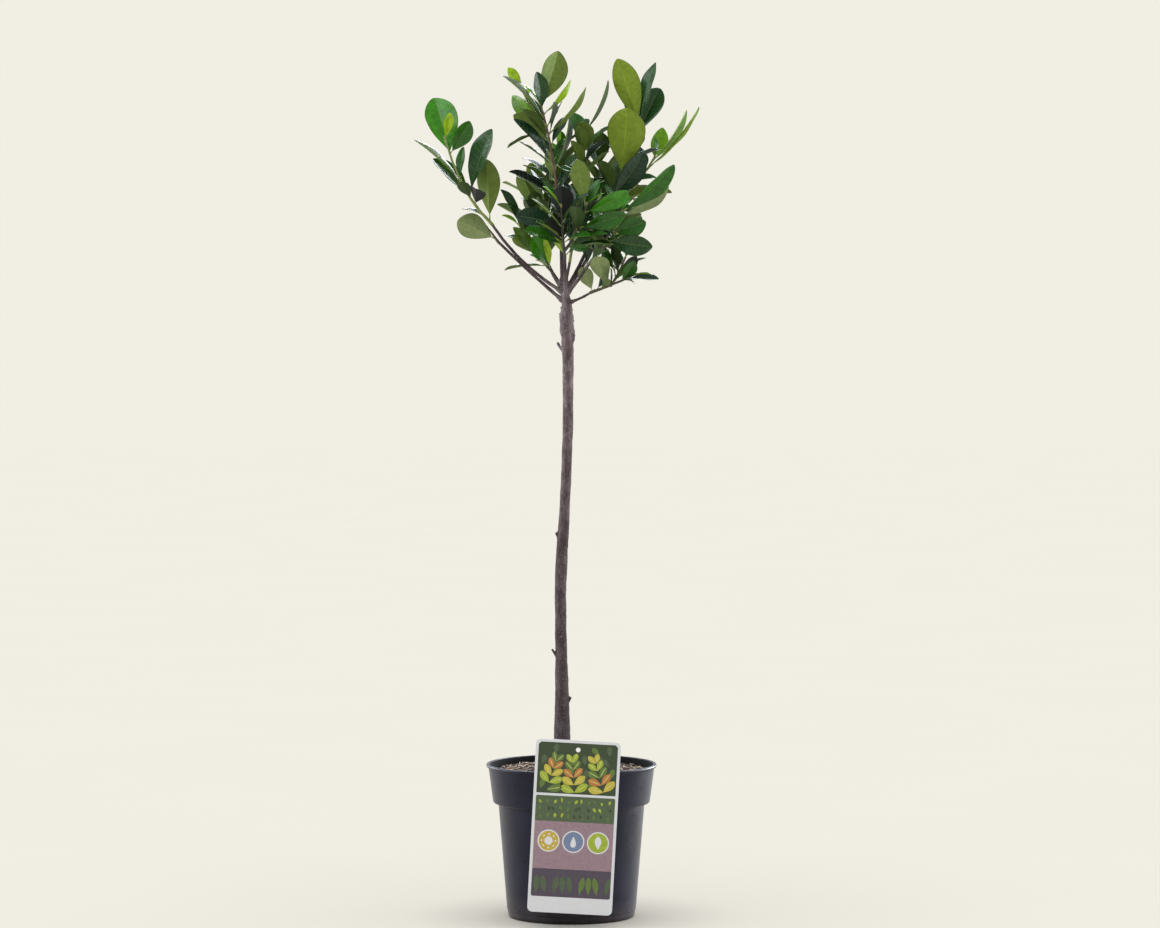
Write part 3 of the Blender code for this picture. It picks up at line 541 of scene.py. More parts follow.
def rule_leaf(name, shoot, index, line, dice):
    """The leaf at one node of a shoot: two turns of the spiral for every five leaves."""
    share = LOWEST_LEAF_AT + (1 - LOWEST_LEAF_AT) * index / max(1, shoot.leaves - 1)
    root, along = on_line(line, share)
    turn = radians(shoot.turn) + index * PHYLLOTAXIS + dice.uniform(-0.25, 0.25)
    lean = LEAN_AT_FOOT + (LEAN_AT_TIP - LEAN_AT_FOOT) * share + dice.uniform(-0.15, 0.15)
    axis, upper = leaf_stance(along, turn, lean)
    upper.rotate(Quaternion(axis, dice.uniform(-0.4, 0.4)))
    size = shoot.size * dice.uniform(0.84, 1.06)
    if index >= shoot.leaves - YOUNG_LEAVES:
        size *= YOUNG_SIZE
    length = LEAF_LENGTH * size
    width = length * LEAF_WIDTH_SHARE * dice.uniform(0.9, 1.12) * SLIM_LEAVES.get(name, 1)
    curl, fold = radians(dice.uniform(8, 34)), radians(dice.uniform(10, 28))
    return Leaf(root, axis, upper, length, width, curl, fold), along


def ball(shape):
    """(centre, reach) of a ball about a shape."""
    points = shape[0]
    centre = sum(points, Vector()) / len(points)
    return centre, max((p - centre).length for p in points)


class Crown:
    """What already stands in the crown, so that each new leaf finds free air or is left out."""

    def __init__(self):
        self.things = []

    def add(self, shape, owner):
        self.things.append((*ball(shape), BVHTree.FromPolygons(*shape), owner))

    def is_free(self, shape, centre, reach, own=""):
        """Whether a shape within reach of this centre touches nothing but what its own shoot owns."""
        tree = BVHTree.FromPolygons(*shape)
        return not any(
            owner != own and (there - centre).length <= size + reach and other.overlap(tree)
            for there, size, other, owner in self.things
        )

    def place(self, leaf, shoot, pivot, retries):
        """The leaf turned about its root until it is free, or None."""
        for turn, size in retries:
            spin = Quaternion(pivot, radians(turn))
            axis, upper = spin @ leaf.axis, spin @ leaf.upper
            moved = leaf._replace(axis=axis, upper=upper, length=leaf.length * size, width=leaf.width * size)
            stalk, blade = plain_leaf(moved)
            middle, reach = moved.root + moved.axis * moved.length / 2, moved.length * LEAF_BALL
            if self.is_free(blade, middle, reach) and self.is_free(stalk, middle, reach, shoot):
                self.add(blade, None)
                self.add(stalk, shoot)
                return moved
        return None


def trunk_line():
    stations = [Vector((x, y, z, r)) * MM for z, x, y, r in TRUNK]
    line = smooth_line(stations, TRUNK_RINGS_PER_STATION)
    return [p.xyz for p in line], [p.w for p in line]


def trunk_at(height):
    """(centre, radius) of the trunk at this height in millimetres."""
    line, radii = trunk_line()
    for a, b, first, last in zip(line, line[1:], radii, radii[1:]):
        if b.z >= height * MM:
            break
    share = (height * MM - a.z) / (b.z - a.z)
    return a.lerp(b, share), first + (last - first) * share


def carried_on(start, before, tip, bow, radius):
    """A limb's line from near start, moved on so that its flat cap clears the cap of the limb before it."""
    along = (limb_line(start, tip, bow)[1] - start).normalized()
    gap = GAP + 1.1 * radius * sin(along.angle(before))
    return limb_line(start + before * gap, tip, bow)


def bough_radii(bough, spare=0.0):
    return tapered(bough.base_radius * MM + spare, bough.tip_radius * MM + spare, LIMB_STEPS + 1)


def grow_boughs():
    """Each bough's centreline by name. The leader goes on from the trunk's tip, the others leave its side."""
    trunk, radii = trunk_line()
    trunk_skin = BVHTree.FromPolygons(*tube(trunk, [r + GAP for r in radii], TRUNK_SIDES))
    lines = {}
    for name, bough in BOUGHS.items():
        centre, _ = trunk_at(bough.height)
        tip = Vector(bough.tip) * MM
        if bough.height == TRUNK[-1][0]:
            before = (trunk[-1] - trunk[-2]).normalized()
            lines[name] = carried_on(centre, before, tip, bough.bow, bough.base_radius * MM)
            continue
        along = (limb_line(centre, tip, bough.bow)[1] - centre).normalized()
        for step in range(BOUGH_FOOT_TRIES):
            line = limb_line(centre + along * step * BOUGH_FOOT_STEP, tip, bough.bow)
            skin = BVHTree.FromPolygons(*tube(line, bough_radii(bough), BOUGH_SIDES))
            if not skin.overlap(trunk_skin):
                break
        lines[name] = line
    return lines


def grow_shoots(boughs):
    """Each shoot's centreline by name. A side shoot starts on its mass's first shoot."""
    lines = {}
    for name, shoot in SHOOTS.items():
        tip = Vector(shoot.tip) * MM
        if name == shoot.mass:
            line = boughs[name]
            before = (line[-1] - line[-2]).normalized()
            lines[name] = carried_on(line[-1], before, tip, shoot.bow, SHOOT_FOOT_RADIUS)
        else:
            lines[name] = limb_line(on_line(lines[shoot.mass], shoot.start)[0], tip, shoot.bow)
    return lines


def shoot_radii(spare=0.0):
    return [radius + spare for radius in tapered(SHOOT_FOOT_RADIUS, SHOOT_TIP_RADIUS, LIMB_STEPS + 1)]


def grow_leaves(boughs, lines):
    """The crown, and each shoot's leaves and their tints: those of the face first, then those set by rule."""
    crown = Crown()
    line, radii = trunk_line()
    crown.add(tube(line, [r + SPARE for r in radii], BOUGH_SIDES), "trunk")
    for name, line in boughs.items():
        crown.add(tube(line, bough_radii(BOUGHS[name], SPARE), BOUGH_SIDES), f"bough_{name}")
    for name, line in lines.items():
        crown.add(tube(line, shoot_radii(SPARE), SHOOT_SIDES), name)
    leaves = {name: [] for name in lines}
    for spec in map(FaceLeaf._make, FACE_LEAVES):
        leaf = face_leaf(spec, lines[spec.shoot])
        placed = crown.place(leaf, spec.shoot, leaf.axis.cross(VIEWER).normalized(), FACE_RETRIES)
        if placed:
            leaves[spec.shoot].append((placed, spec.tint))
    dice, tint_dice = random.Random(SEED), random.Random(TINT_SEED)
    for name, shoot in SHOOTS.items():
        for index in range(shoot.leaves):
            leaf, along = rule_leaf(name, shoot, index, lines[name], dice)
            if leaf.axis.dot(VIEWER) > STEM_SHOWS.get(name, 1):
                continue
            placed = crown.place(leaf, name, along, RULE_RETRIES)
            tint = tint_dice.choice(YOUNG_TINTS if index >= shoot.leaves - YOUNG_LEAVES else RULE_TINTS)
            if placed:
                leaves[name].append((placed, tint))
    return crown, leaves


# Pieces
def helper(name, mesh):
    obj = bpy.data.objects.new(name, mesh)
    bpy.context.scene.collection.objects.link(obj)
    return obj


def piece(name, mesh, slot, *nodes):
    """A piece of the object that stands for these CAD nodes. The slot is not used."""
    obj = helper(name, mesh)
    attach(obj, "root")
    if nodes:
        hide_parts(*nodes)


class Skin:
    """The points and faces of one piece, with the finish of each face."""

    def __init__(self):
        self.points, self.faces, self.finishes = [], [], []

    def add(self, shape, finish):
        """finish is the name of one finish, or a list with one for each face."""
        points, faces = shape
        first = len(self.points)
        self.points += points
        self.faces += [[first + i for i in face] for face in faces]
        self.finishes += finish if isinstance(finish, list) else [finish] * len(faces)

    def mesh(self, name):
        made = bpy.data.meshes.new(name)
        made.from_pydata(self.points, [], self.faces)
        used = sorted(set(self.finishes))
        for finish in used:
            made.materials.append(bpy.data.materials[finish])
        made.polygons.foreach_set("material_index", [used.index(finish) for finish in self.finishes])
        made.shade_smooth()
        return made

    def piece(self, name, slot, *nodes):
        piece(name, self.mesh(name), slot, *nodes)


def modified(skin, kind, **settings):
    """The skin's mesh with one modifier worked in."""
    obj = helper("body", skin.mesh("body"))
    modifier = obj.modifiers.new(kind, kind)
    for key, value in settings.items():
        setattr(modifier, key, value)
    bpy.context.view_layer.update()
    graph = bpy.context.evaluated_depsgraph_get()
    mesh = bpy.data.meshes.new_from_object(obj.evaluated_get(graph))
    bpy.data.objects.remove(obj)
    return mesh


# Finishes
def linear(red, green, blue):
    """A colour from 0 to 255 as the shader takes it."""
    shares = [value / 255 for value in (red, green, blue)]
    return tuple(((s + 0.055) / 1.055) ** 2.4 if s > 0.04045 else s / 12.92 for s in shares)


def shaded(colour, factor):
    return tuple(min(1, value * factor) for value in colour)


def add_node(tree, kind, values=None, **settings):
    """A node whose inputs take values or other nodes' outputs."""
    made = tree.nodes.new(kind)
    for key, value in settings.items():
        setattr(made, key, value)
    for socket, value in (values or {}).items():
        if isinstance(value, bpy.types.NodeSocket):
            tree.links.new(value, made.inputs[socket])
        else:
            made.inputs[socket].default_value = value
    return made


class Finish:
    """A procedural material: its principled shader, the nodes that feed it, and its colour so far."""

    def __init__(self, name, **constants):
        material = bpy.data.materials.new(name)
        material.use_nodes = True
        self.tree = material.node_tree
        self.shader = self.tree.nodes["Principled BSDF"]
        for socket, value in constants.items():
            self.shader.inputs[socket.replace("_", " ")].default_value = value
        self.place = self.node("ShaderNodeTexCoord").outputs["Object"]
        self.base = self.bumped = None

    def node(self, kind, values=None, **settings):
        return add_node(self.tree, kind, values, **settings)

    def feed(self, socket, source):
        self.tree.links.new(source, self.shader.inputs[socket])

    def cloud(self, scale, detail=4, stretch=(1, 1, 1), roughness=0.55):
        """A noise from 0 to 1, at this many waves a metre."""
        spread = self.node("ShaderNodeMapping", {"Vector": self.place, "Scale": [scale * s for s in stretch]})
        values = {"Vector": spread.outputs[0], "Scale": 1, "Detail": detail, "Roughness": roughness}
        return self.node("ShaderNodeTexNoise", values).outputs[0]

    def between(self, source, low, high, first=0.3, last=0.7):
        """A value spread from low to high."""
        values = {"Value": source, "From Min": first, "From Max": last, "To Min": low, "To Max": high}
        return self.node("ShaderNodeMapRange", values).outputs[0]

    def product(self, a, b):
        return self.node("ShaderNodeMath", {0: a, 1: b}, operation="MULTIPLY").outputs[0]

    def height(self):
        return self.node("ShaderNodeSeparateXYZ", {"Vector": self.place}).outputs["Z"]

    def ramp(self, source, stops):
        """The base colour from a value, each stop a place from 0 to 1 and a colour."""
        made = self.node("ShaderNodeValToRGB", {"Fac": source})
        elements = made.color_ramp.elements
        while len(elements) < len(stops):
            elements.new(0.5)
        for element, (place, colour) in zip(elements, stops):
            element.position = place
            element.color = (*colour, 1)
        self.base = made.outputs["Color"]
        self.feed("Base Color", self.base)

    def lay(self, colour, share):
        """A colour from 0 to 255 laid over the base colour, by share."""
        values = {0: share, 6: self.base, 7: (*linear(*colour), 1)}
        self.base = self.node("ShaderNodeMix", values, data_type="RGBA").outputs[2]
        self.feed("Base Color", self.base)

    def bump(self, height, strength, distance):
        values = {"Height": height, "Strength": strength, "Distance": distance}
        if self.bumped:
            values["Normal"] = self.bumped
        self.bumped = self.node("ShaderNodeBump", values).outputs[0]
        self.feed("Normal", self.bumped)


def mottled(name, colour, scale, roughness, depth, contrast=0.25, grain=5, stretch=(1, 1, 1), **constants):
    """One colour that wanders a little lighter and darker, with a fine grain in the surface."""
    finish = Finish(name, **constants)
    stops = [(0.3, shaded(colour, 1 - contrast)), (0.5, colour), (0.7, shaded(colour, 1 + contrast))]
    finish.ramp(finish.cloud(scale, stretch=stretch), stops)
    fine = finish.cloud(scale * grain, stretch=stretch)
    finish.feed("Roughness", finish.between(fine, roughness * 0.85, roughness * 1.15))
    finish.bump(fine, 0.6, depth)
    return finish


def leaf_finishes():
    """Each tint's blade, veins, midribs and margin: glossy above, matt below."""
    sap = linear(150, 168, 84)
    glossy = {"grain": 2, "Specular_IOR_Level": 0.36}
    matt = {"Specular_IOR_Level": 0.15}
    uppers = (("", 0, 0.25, 0.25), ("_vein", 0.05, 0.3, 0.25), ("_rib", 0.22, 0.35, 0.15))
    for tint, (upper, under) in TINTS.items():
        top, back = linear(*upper), linear(*under)
        for part, share, roughness, contrast in uppers:
            colour = tuple((1 - share) * a + share * b for a, b in zip(top, sap))
            mottled(f"{tint}_upper{part}", colour, 160, roughness, LEAF_GRAIN, contrast, **glossy)
        for part, factor, contrast in (("", 1, 0.16), ("_vein", 1.1, 0.12), ("_rib", 1.3, 0.12)):
            mottled(f"{tint}_under{part}", shaded(back, factor), 220, 0.5, LEAF_GRAIN, contrast, **matt)
        mottled(f"{tint}_edge", shaded(back, 0.55), 300, 0.5, LEAF_GRAIN, 0.2, **matt)


def stem_finishes():
    for name, (colour, _) in STEMS.items():
        finish = mottled(name, linear(*colour), 260, 0.5, 0.12 * MM, 0.3, stretch=(1, 1, 0.35))
        finish.lay((168, 158, 134), finish.between(finish.cloud(1500, 2), 0, 0.5, 0.62, 0.68))
    mottled("stalk", linear(122, 140, 66), 300, 0.42, 0.05 * MM)
    mottled("bud", linear(128, 120, 66), 500, 0.45, 0.08 * MM, 0.4)


def bark_finish():
    """Grey-brown bark, dark in its cracks, silvery in patches, with small pale corky flecks across it."""
    finish = Finish("bark_relief", Specular_IOR_Level=0.25)
    stops = [(0.32, linear(54, 42, 44)), (0.5, linear(92, 77, 80)), (0.66, linear(128, 113, 116))]
    finish.ramp(finish.cloud(90, 6, (1, 1, 0.4), 0.65), stops)
    finish.lay((148, 137, 142), finish.between(finish.cloud(34, 5, (1, 1, 0.6)), 0, 0.6, 0.5, 0.68))
    height = finish.height()
    finish.lay((46, 37, 39), finish.between(height, 0.68, 0, 0.4, 0.66))
    finish.lay((40, 31, 33), finish.between(height, 0, 0.6, 0.755, 0.8))
    cracks = finish.cloud(520, 4, (1, 1, 0.22), 0.6)
    finish.lay((38, 29, 27), finish.between(cracks, 0.75, 0, 0.3, 0.46))
    flecks = finish.cloud(430, 2, (1, 1, 3.2))
    finish.lay((158, 148, 138), finish.between(flecks, 0, 0.7, 0.62, 0.7))
    finish.feed("Roughness", finish.between(cracks, 0.9, 0.68))
    finish.bump(cracks, 0.8, 0.5 * MM)
    finish.bump(flecks, 0.5, 0.25 * MM)
    finish.bump(finish.cloud(1900, 3), 0.5, 0.1 * MM)


def pot_finish():
    """Blue-black moulded plastic, scuffed in streaks, dusty at the foot, with painted shade on the inner wall
    above the soil.
    """
    finish = Finish("pot_satin", Specular_IOR_Level=0.2)
    stops = [(0.3, linear(15, 15, 31)), (0.55, linear(20, 20, 38)), (0.75, linear(28, 28, 48))]
    finish.ramp(finish.cloud(14, 4), stops)
    height = finish.height()
    patches = finish.cloud(60, 6, roughness=0.7)
    finish.lay((112, 98, 84), finish.product(finish.between(height, 0.35, 0, 2 * MM, 30 * MM), patches))
    finish.lay((96, 96, 108), finish.between(finish.cloud(120, 3, (1, 1, 9)), 0, 0.16, 0.66, 0.72))
    level = finish.node("ShaderNodeVectorMath", {0: finish.place, 1: (1, 1, 0)}, operation="MULTIPLY")
    radius = finish.node("ShaderNodeVectorMath", {0: level.outputs[0]}, operation="LENGTH").outputs["Value"]
    wall = COLLAR_TOP_RADIUS - WALL
    inside = finish.between(radius, 1, 0, wall, wall + 0.4 * MM)
    above = finish.between(height, 0, 1, SOIL_EDGE_HEIGHT - 4 * MM, SOIL_EDGE_HEIGHT - 3 * MM)
    # Painted shade: the inner wall above the soil is darkened near black and made rough, for the shadow
    # inside the pot's mouth
    painted_inner_shade = finish.product(inside, above)
    finish.lay((11, 9, 10), painted_inner_shade)
    satin = finish.between(patches, 0.25, 0.4)
    finish.feed("Roughness", finish.node("ShaderNodeMix", {0: painted_inner_shade, 2: satin, 3: 0.95}).outputs[0])
    finish.bump(finish.cloud(1400, 2), 0.25, 0.05 * MM)
    finish.bump(finish.cloud(22, 2, (1, 1, 0.3)), 0.2, 0.6 * MM)


def soil_finishes():
    finish = Finish("soil_crumbs", Roughness=0.95)
    crumbs = finish.cloud(420, 8, roughness=0.7)
    colours = [(0.35, (16, 10, 10)), (0.5, (38, 24, 21)), (0.62, (66, 44, 37)), (0.74, (116, 88, 74))]
    finish.ramp(crumbs, [(place, linear(*colour)) for place, colour in colours])
    finish.bump(crumbs, 1.0, 1.2 * MM)
    for name, (_, colour) in LITTER.items():
        mottled(name, linear(*colour), 420, 0.85, 0.2 * MM, 0.4)


def label_finishes():
    gloss = {"Coat_Weight": 0.3, "Coat_Roughness": 0.2}
    mottled("card_white", linear(222, 223, 226), 300, 0.4, 0.02 * MM, 0.03, **gloss)
    mottled("clip_white", linear(228, 228, 226), 200, 0.35, 0.03 * MM, 0.03)
    for name, colour in PRINT_COLOURS.items():
        mottled(name, linear(*colour), 260, 0.4, 0.02 * MM, 0.14, **gloss)


def floor_finish():
    finish = Finish("studio_floor", Roughness=1, Specular_IOR_Level=0)
    colour = linear(*BACKDROP)
    finish.ramp(finish.cloud(3, 3), [(0.3, shaded(colour, 0.99)), (0.7, colour)])


# Fine leaves
def leaf_rows(veins):
    """The blade's rows as (share of its length, lift of the upper side, whether a vein runs on from here)."""
    rows = [(0.0, 0, False), (0.03, 0, False)]
    pitch = 0.88 / veins
    for k in range(veins):
        at = 0.05 + pitch * (k + 0.35)
        rows.append((at - VEIN_BAND, -VEIN_SINK, True))
        rows.append((at + VEIN_BAND, -VEIN_SINK, False))
        rows.append((at + pitch / 2, SWELL, False))
    return rows + [(0.955, 0, False), (0.985, 0, False)]


def leaf_part(reach, vein, side):
    """Which finish a face of the blade has, reach being its share of the half width."""
    if reach > RIM:
        return "edge"
    if reach < RIB:
        return f"{side}_rib"
    return f"{side}_vein" if vein and reach < VEIN_REACH else side


def fine_leaf(leaf, tint, veins, dice):
    """(shape, finishes) of a leathery blade with sunk veins, a raised midrib behind, and a waved margin."""
    full = leaf.length / LEAF_LENGTH
    wave = dice.uniform(0.2, 0.8) * MM * full
    waves, phase = dice.uniform(1.4, 2.6), dice.uniform(0, 6)
    twist = dice.uniform(-0.1, 0.1)
    base_across = leaf.axis.cross(leaf.upper)

    def point(share, side, lift, face):
        reach = abs(side)
        share += VEIN_SLANT * sin(pi * share) * reach**1.3
        middle, upper = midrib(leaf, share)
        across = base_across + upper * (twist * share)
        half = max(blade_half_width(min(share, 1)) * leaf.width, 0.3 * MM)
        rise = half * sin(leaf.fold) * reach**1.35 - half * 0.05 * reach**7
        rise += wave * sin(waves * share * 2 * pi + phase + side) * reach**2
        thick = BLADE_THICKNESS / 2 * sqrt(max(0, 1 - reach**5)) * (1 - 0.4 * share)
        relief = lift * full * (1 - reach**4)
        on_rib = reach < RIB / 2
        if face > 0:
            rise += thick + relief - 0.25 * MM * full * on_rib
        else:
            rise -= thick - relief * 0.6
            rise -= RIB_HEIGHT * full * (1 - 0.75 * share) * on_rib
        return middle + across * (half * cos(leaf.fold) * side) + upper * rise

    sides = LEAF_COLUMNS + [-s for s in reversed(LEAF_COLUMNS[:-1])]
    back = sides[-2:0:-1]
    around = sides + back
    rows = leaf_rows(veins)
    rings = []
    for share, lift, _ in rows:
        rings.append([point(share, s, lift, 1) for s in sides] + [point(share, s, lift, -1) for s in back])
    finishes = [f"{tint}_under"]
    for _, _, vein in rows:
        for i, (a, b) in enumerate(zip(around, around[1:] + around[:1])):
            part = leaf_part(abs(a + b) / 2, vein, "upper" if i < len(sides) - 1 else "under")
            finishes.append(f"{tint}_{part}")
    return loft(rings, point(1, 0, 0, 1)), finishes


def stalk_tube(leaf):
    """The leaf's stalk, from inside its twig into the blade's midrib, a little swollen at both ends."""
    full = (leaf.length / LEAF_LENGTH) ** 0.5
    stalk = leaf.length * PETIOLE_SHARE
    sag = leaf.upper * (0.35 * MM)
    line = [leaf.root + leaf.axis * stalk * share - sag * share for share in (0, 0.2, 0.5, 0.85, 1.25)]
    return tube(line, [r * MM * full for r in (1.25, 1.0, 0.8, 0.8, 0.35)], 8)


def bud_shape(root, along, length, radius):
    line = [root + along * length * share for share in (0, 0.3, 0.6, 0.85)]
    return tube(line, [radius * r for r in (0.7, 1.0, 0.75, 0.35)], 6, root + along * length)


# Spurs
def in_core(point):
    off = point - CORE_CENTRE
    return sum((off[i] / CORE_REACH[i]) ** 2 for i in range(3)) < 1


def spur_leaf(line, share, turn, dice):
    root, along = on_line(line, share)
    axis, upper = leaf_stance(along, turn, SPUR_TIP_LEAN if share == 1 else SPUR_LEAN)
    length = LEAF_LENGTH * dice.uniform(*SPUR_LEAF_SIZE)
    width = length * LEAF_WIDTH_SHARE * dice.uniform(0.95, 1.2)
    return Leaf(root, axis, upper, length, width, radians(dice.uniform(8, 30)), SPUR_LEAF_FOLD), along


def grow_spurs(crown, lines):
    """The spurs of each shoot by name, each (line, leaves), where the crown's core still has air."""
    dice = random.Random(SPUR_SEED)
    spurs = {name: [] for name in lines}
    for name, stem in lines.items():
        for index in range(SPURS_PER_SHOOT):
            root, along = on_line(stem, (index + dice.random()) / SPURS_PER_SHOOT)
            turn = index * PHYLLOTAXIS + dice.uniform(0, 1)
            heading = (along * 0.5 + outward(along, turn) + SKY * 0.3).normalized()
            line = limb_line(root, root + heading * dice.uniform(*SPUR_LENGTH), SPUR_BOW, SPUR_STEPS)
            skin = tube(line, tapered(*SPUR_RADII, SPUR_STEPS + 1), SPUR_SIDES)
            if not in_core(line[-1]) or not crown.is_free(skin, *ball(skin), name):
                continue
            leaves = []
            for share in SPUR_LEAVES:
                leaf, pivot = spur_leaf(line, share, turn + share * 7, dice)
                placed = crown.place(leaf, name, pivot, RULE_RETRIES)
                if placed and in_core(placed.root + placed.axis * placed.length):
                    leaves.append(placed)
            if leaves:
                crown.add(skin, name)
                spurs[name].append((line, leaves))
    return spurs


# Foliage
def twig_tube(line, radii, knots, steps=28):
    """A shoot that swells a little at each knot, a share of its length."""
    shares = [i / steps for i in range(steps + 1)]
    points = [on_line(line, share)[0] for share in shares]
    widths = []
    for share in shares:
        swell = sum(exp(-(((share - knot) * 30) ** 2)) for knot in knots)
        widths.append((radii[0] + (radii[-1] - radii[0]) * share) * (1 + 0.16 * min(1, swell)))
    wobble = [noise.noise_vector(p / (9 * MM)) * (0.25 * MM) for p in points]
    wobble[0] = wobble[-1] = Vector()
    return tube([p + w for p, w in zip(points, wobble)], widths, 9)


def dress_shoot(line, leaves, finish, blades, twigs, dice):
    """A shoot's bark, end bud and leaves, each leaf with its stalk and the bud in its axil."""
    total = sum((b - a).length for a, b in zip(line, line[1:]))
    start = line[0] - (line[1] - line[0]).normalized() * (2.2 * MM)
    knots = [(leaf.root - line[0]).length / total for leaf, _ in leaves]
    twigs.add(twig_tube([start] + line[1:], shoot_radii(), knots), finish)
    along = (line[-1] - line[-2]).normalized()
    twigs.add(bud_shape(line[-1] - along * MM, along, 6 * MM, 1.5 * MM), "bud")
    for leaf, tint in leaves:
        blades.add(*fine_leaf(leaf, tint, VEINS, dice))
        twigs.add(stalk_tube(leaf), "stalk")
        share = (leaf.root - line[0]).length / (line[-1] - line[0]).length
        axil = (leaf.axis + on_line(line, min(1, share))[1] * 1.4).normalized()
        twigs.add(bud_shape(leaf.root + axil * (1.2 * MM), axil, 3.2 * MM, 0.9 * MM), "bud")


def build_foliage(boughs):
    """One piece of leaves and one of twigs for each mass."""
    lines = grow_shoots(boughs)
    crown, leaves = grow_leaves(boughs, lines)
    spurs = grow_spurs(crown, lines)
    dice = random.Random(SEED + 1)
    for mass in BOUGHS:
        blades, twigs = Skin(), Skin()
        for name in [name for name, shoot in SHOOTS.items() if shoot.mass == mass]:
            finish = STEM_FINISHES.get(name, "stem_brown")
            dress_shoot(lines[name], leaves[name], finish, blades, twigs, dice)
            for line, spur_leaves in spurs[name]:
                twigs.add(twig_tube(line, SPUR_RADII, SPUR_LEAVES, 10), finish)
                for leaf in spur_leaves:
                    blades.add(*fine_leaf(leaf, dice.choice(RULE_TINTS), SPUR_VEINS, dice))
                    twigs.add(stalk_tube(leaf), "stalk")
        blades.piece(f"leaves_{mass}", "leaf", f"foliage_{mass}")
        twigs.piece(f"twigs_{mass}", "bark", f"foliage_{mass}")


# Bark
def stub_line(height, heading, length):
    centre, radius = trunk_at(height)
    compass_turn = radians(heading)
    foot = centre + compass(compass_turn) * (radius * 0.55)
    return [foot, foot + compass(compass_turn, cos(STUB_CLIMB), sin(STUB_CLIMB)) * length * MM]


def collar_tube(bough, line):
    """The swelling where a bough leaves the trunk, from the trunk's middle outwards."""
    centre, _ = trunk_at(min(bough.height, 780))
    out = (line[1] - centre).normalized() * ((line[0] - centre).length + 7 * MM)
    radii = [bough.base_radius * MM * r for r in (1.7, 1.6, 1.25, 0.9)]
    return tube([centre + out * share for share in (0, 0.5, 0.75, 1)], radii, 10)


def relief(point):
    """How far the bark stands out here: ridges along the stem, warts across it, and knobs in the head."""
    head = exp(-(((point.z - HEAD_HEIGHT) / HEAD_REACH) ** 2))
    thin = 0.4 if point.z > FORK_HEIGHT else 1.0
    x, y, z = point / MM
    knobs = noise.noise((x / 11, y / 11, z / 24)) * 0.5 + noise.noise((x / 7, y / 7, z / 8)) * 1.5 * head
    ridges = noise.fractal((x / 2.2, y / 2.2, z / 8), 1.0, 2.0, 3) * 0.3
    warts = max(0, noise.noise((x / 2.0 + 40, y / 2.0, z / 0.9)) - 0.3) * 0.8
    return (knobs + ridges + warts) * thin * MM


def bark_limbs(boughs):
    """Every tube and knob that the bark's skin is drawn over."""
    line, radii = trunk_line()
    yield tube(line, radii, BARK_TRUNK_SIDES)
    for name, bough in BOUGHS.items():
        spine = boughs[name]
        back = (spine[0] - spine[1]).normalized() * (3 * MM)
        yield tube([spine[0] + back] + spine[1:], bough_radii(bough), BARK_BOUGH_SIDES)
        yield collar_tube(bough, spine)
    for height, heading, length, radius in STUBS:
        yield tube(stub_line(height, heading, length), [radius * MM * 1.1, radius * 0.8 * MM], 10)
    dice = random.Random(KNOB_SEED)
    for _ in range(KNOBS):
        centre, radius = trunk_at(dice.uniform(*KNOB_HEIGHTS))
        turn = dice.uniform(0, 2 * pi)
        size = dice.uniform(2.6, 4.4) * MM
        out = compass(turn, 1, dice.uniform(-0.2, 0.5)) * (radius - size * 0.3)
        yield bud_shape(centre + out * 0.5, out.normalized(), out.length * 0.5 + size * 0.8, size)


def build_bark(boughs):
    """Trunk, boughs and stubs in one skin with the bark's relief."""
    limbs = Skin()
    for limb in bark_limbs(boughs):
        limbs.add(limb, "bark_relief")
    mesh = modified(limbs, "REMESH", mode="VOXEL", voxel_size=BARK_VOXEL)
    normals = [v.normal.copy() for v in mesh.vertices]
    for vertex, normal in zip(mesh.vertices, normals):
        vertex.co += normal * relief(vertex.co)
    mesh.materials.clear()
    mesh.materials.append(bpy.data.materials["bark_relief"])
    mesh.shade_smooth()
    piece("bark", mesh, "bark", "trunk", *(f"bough_{name}" for name in BOUGHS))


# Pot
def filleted(profile, radius, steps=4):
    """The profile with each inner corner rounded, by at most this radius."""
    points = [Vector(p) for p in profile]
    line = [points[0]]
    for before, corner, after in zip(points, points[1:], points[2:]):
        cut = min(radius, (corner - before).length * 0.45, (after - corner).length * 0.45)
        start = corner + (before - corner).normalized() * cut
        end = corner + (after - corner).normalized() * cut
        line += rounded(start, corner, end, steps)
    return line + [points[-1]]


def turned(profile, facets):
    """(points, faces) of a profile turned about the Z axis. Its first and last points lie on the axis."""
    rings = [[compass(a, radius, height) for a in turns(facets)] for radius, height in profile[1:-1]]
    points, faces = loft(rings, Vector((0, 0, profile[-1][1])))
    foot = len(points)
    points.append(Vector((0, 0, profile[0][1])))
    return points, faces[1:] + [((i + 1) % facets, i, foot) for i in range(facets)]


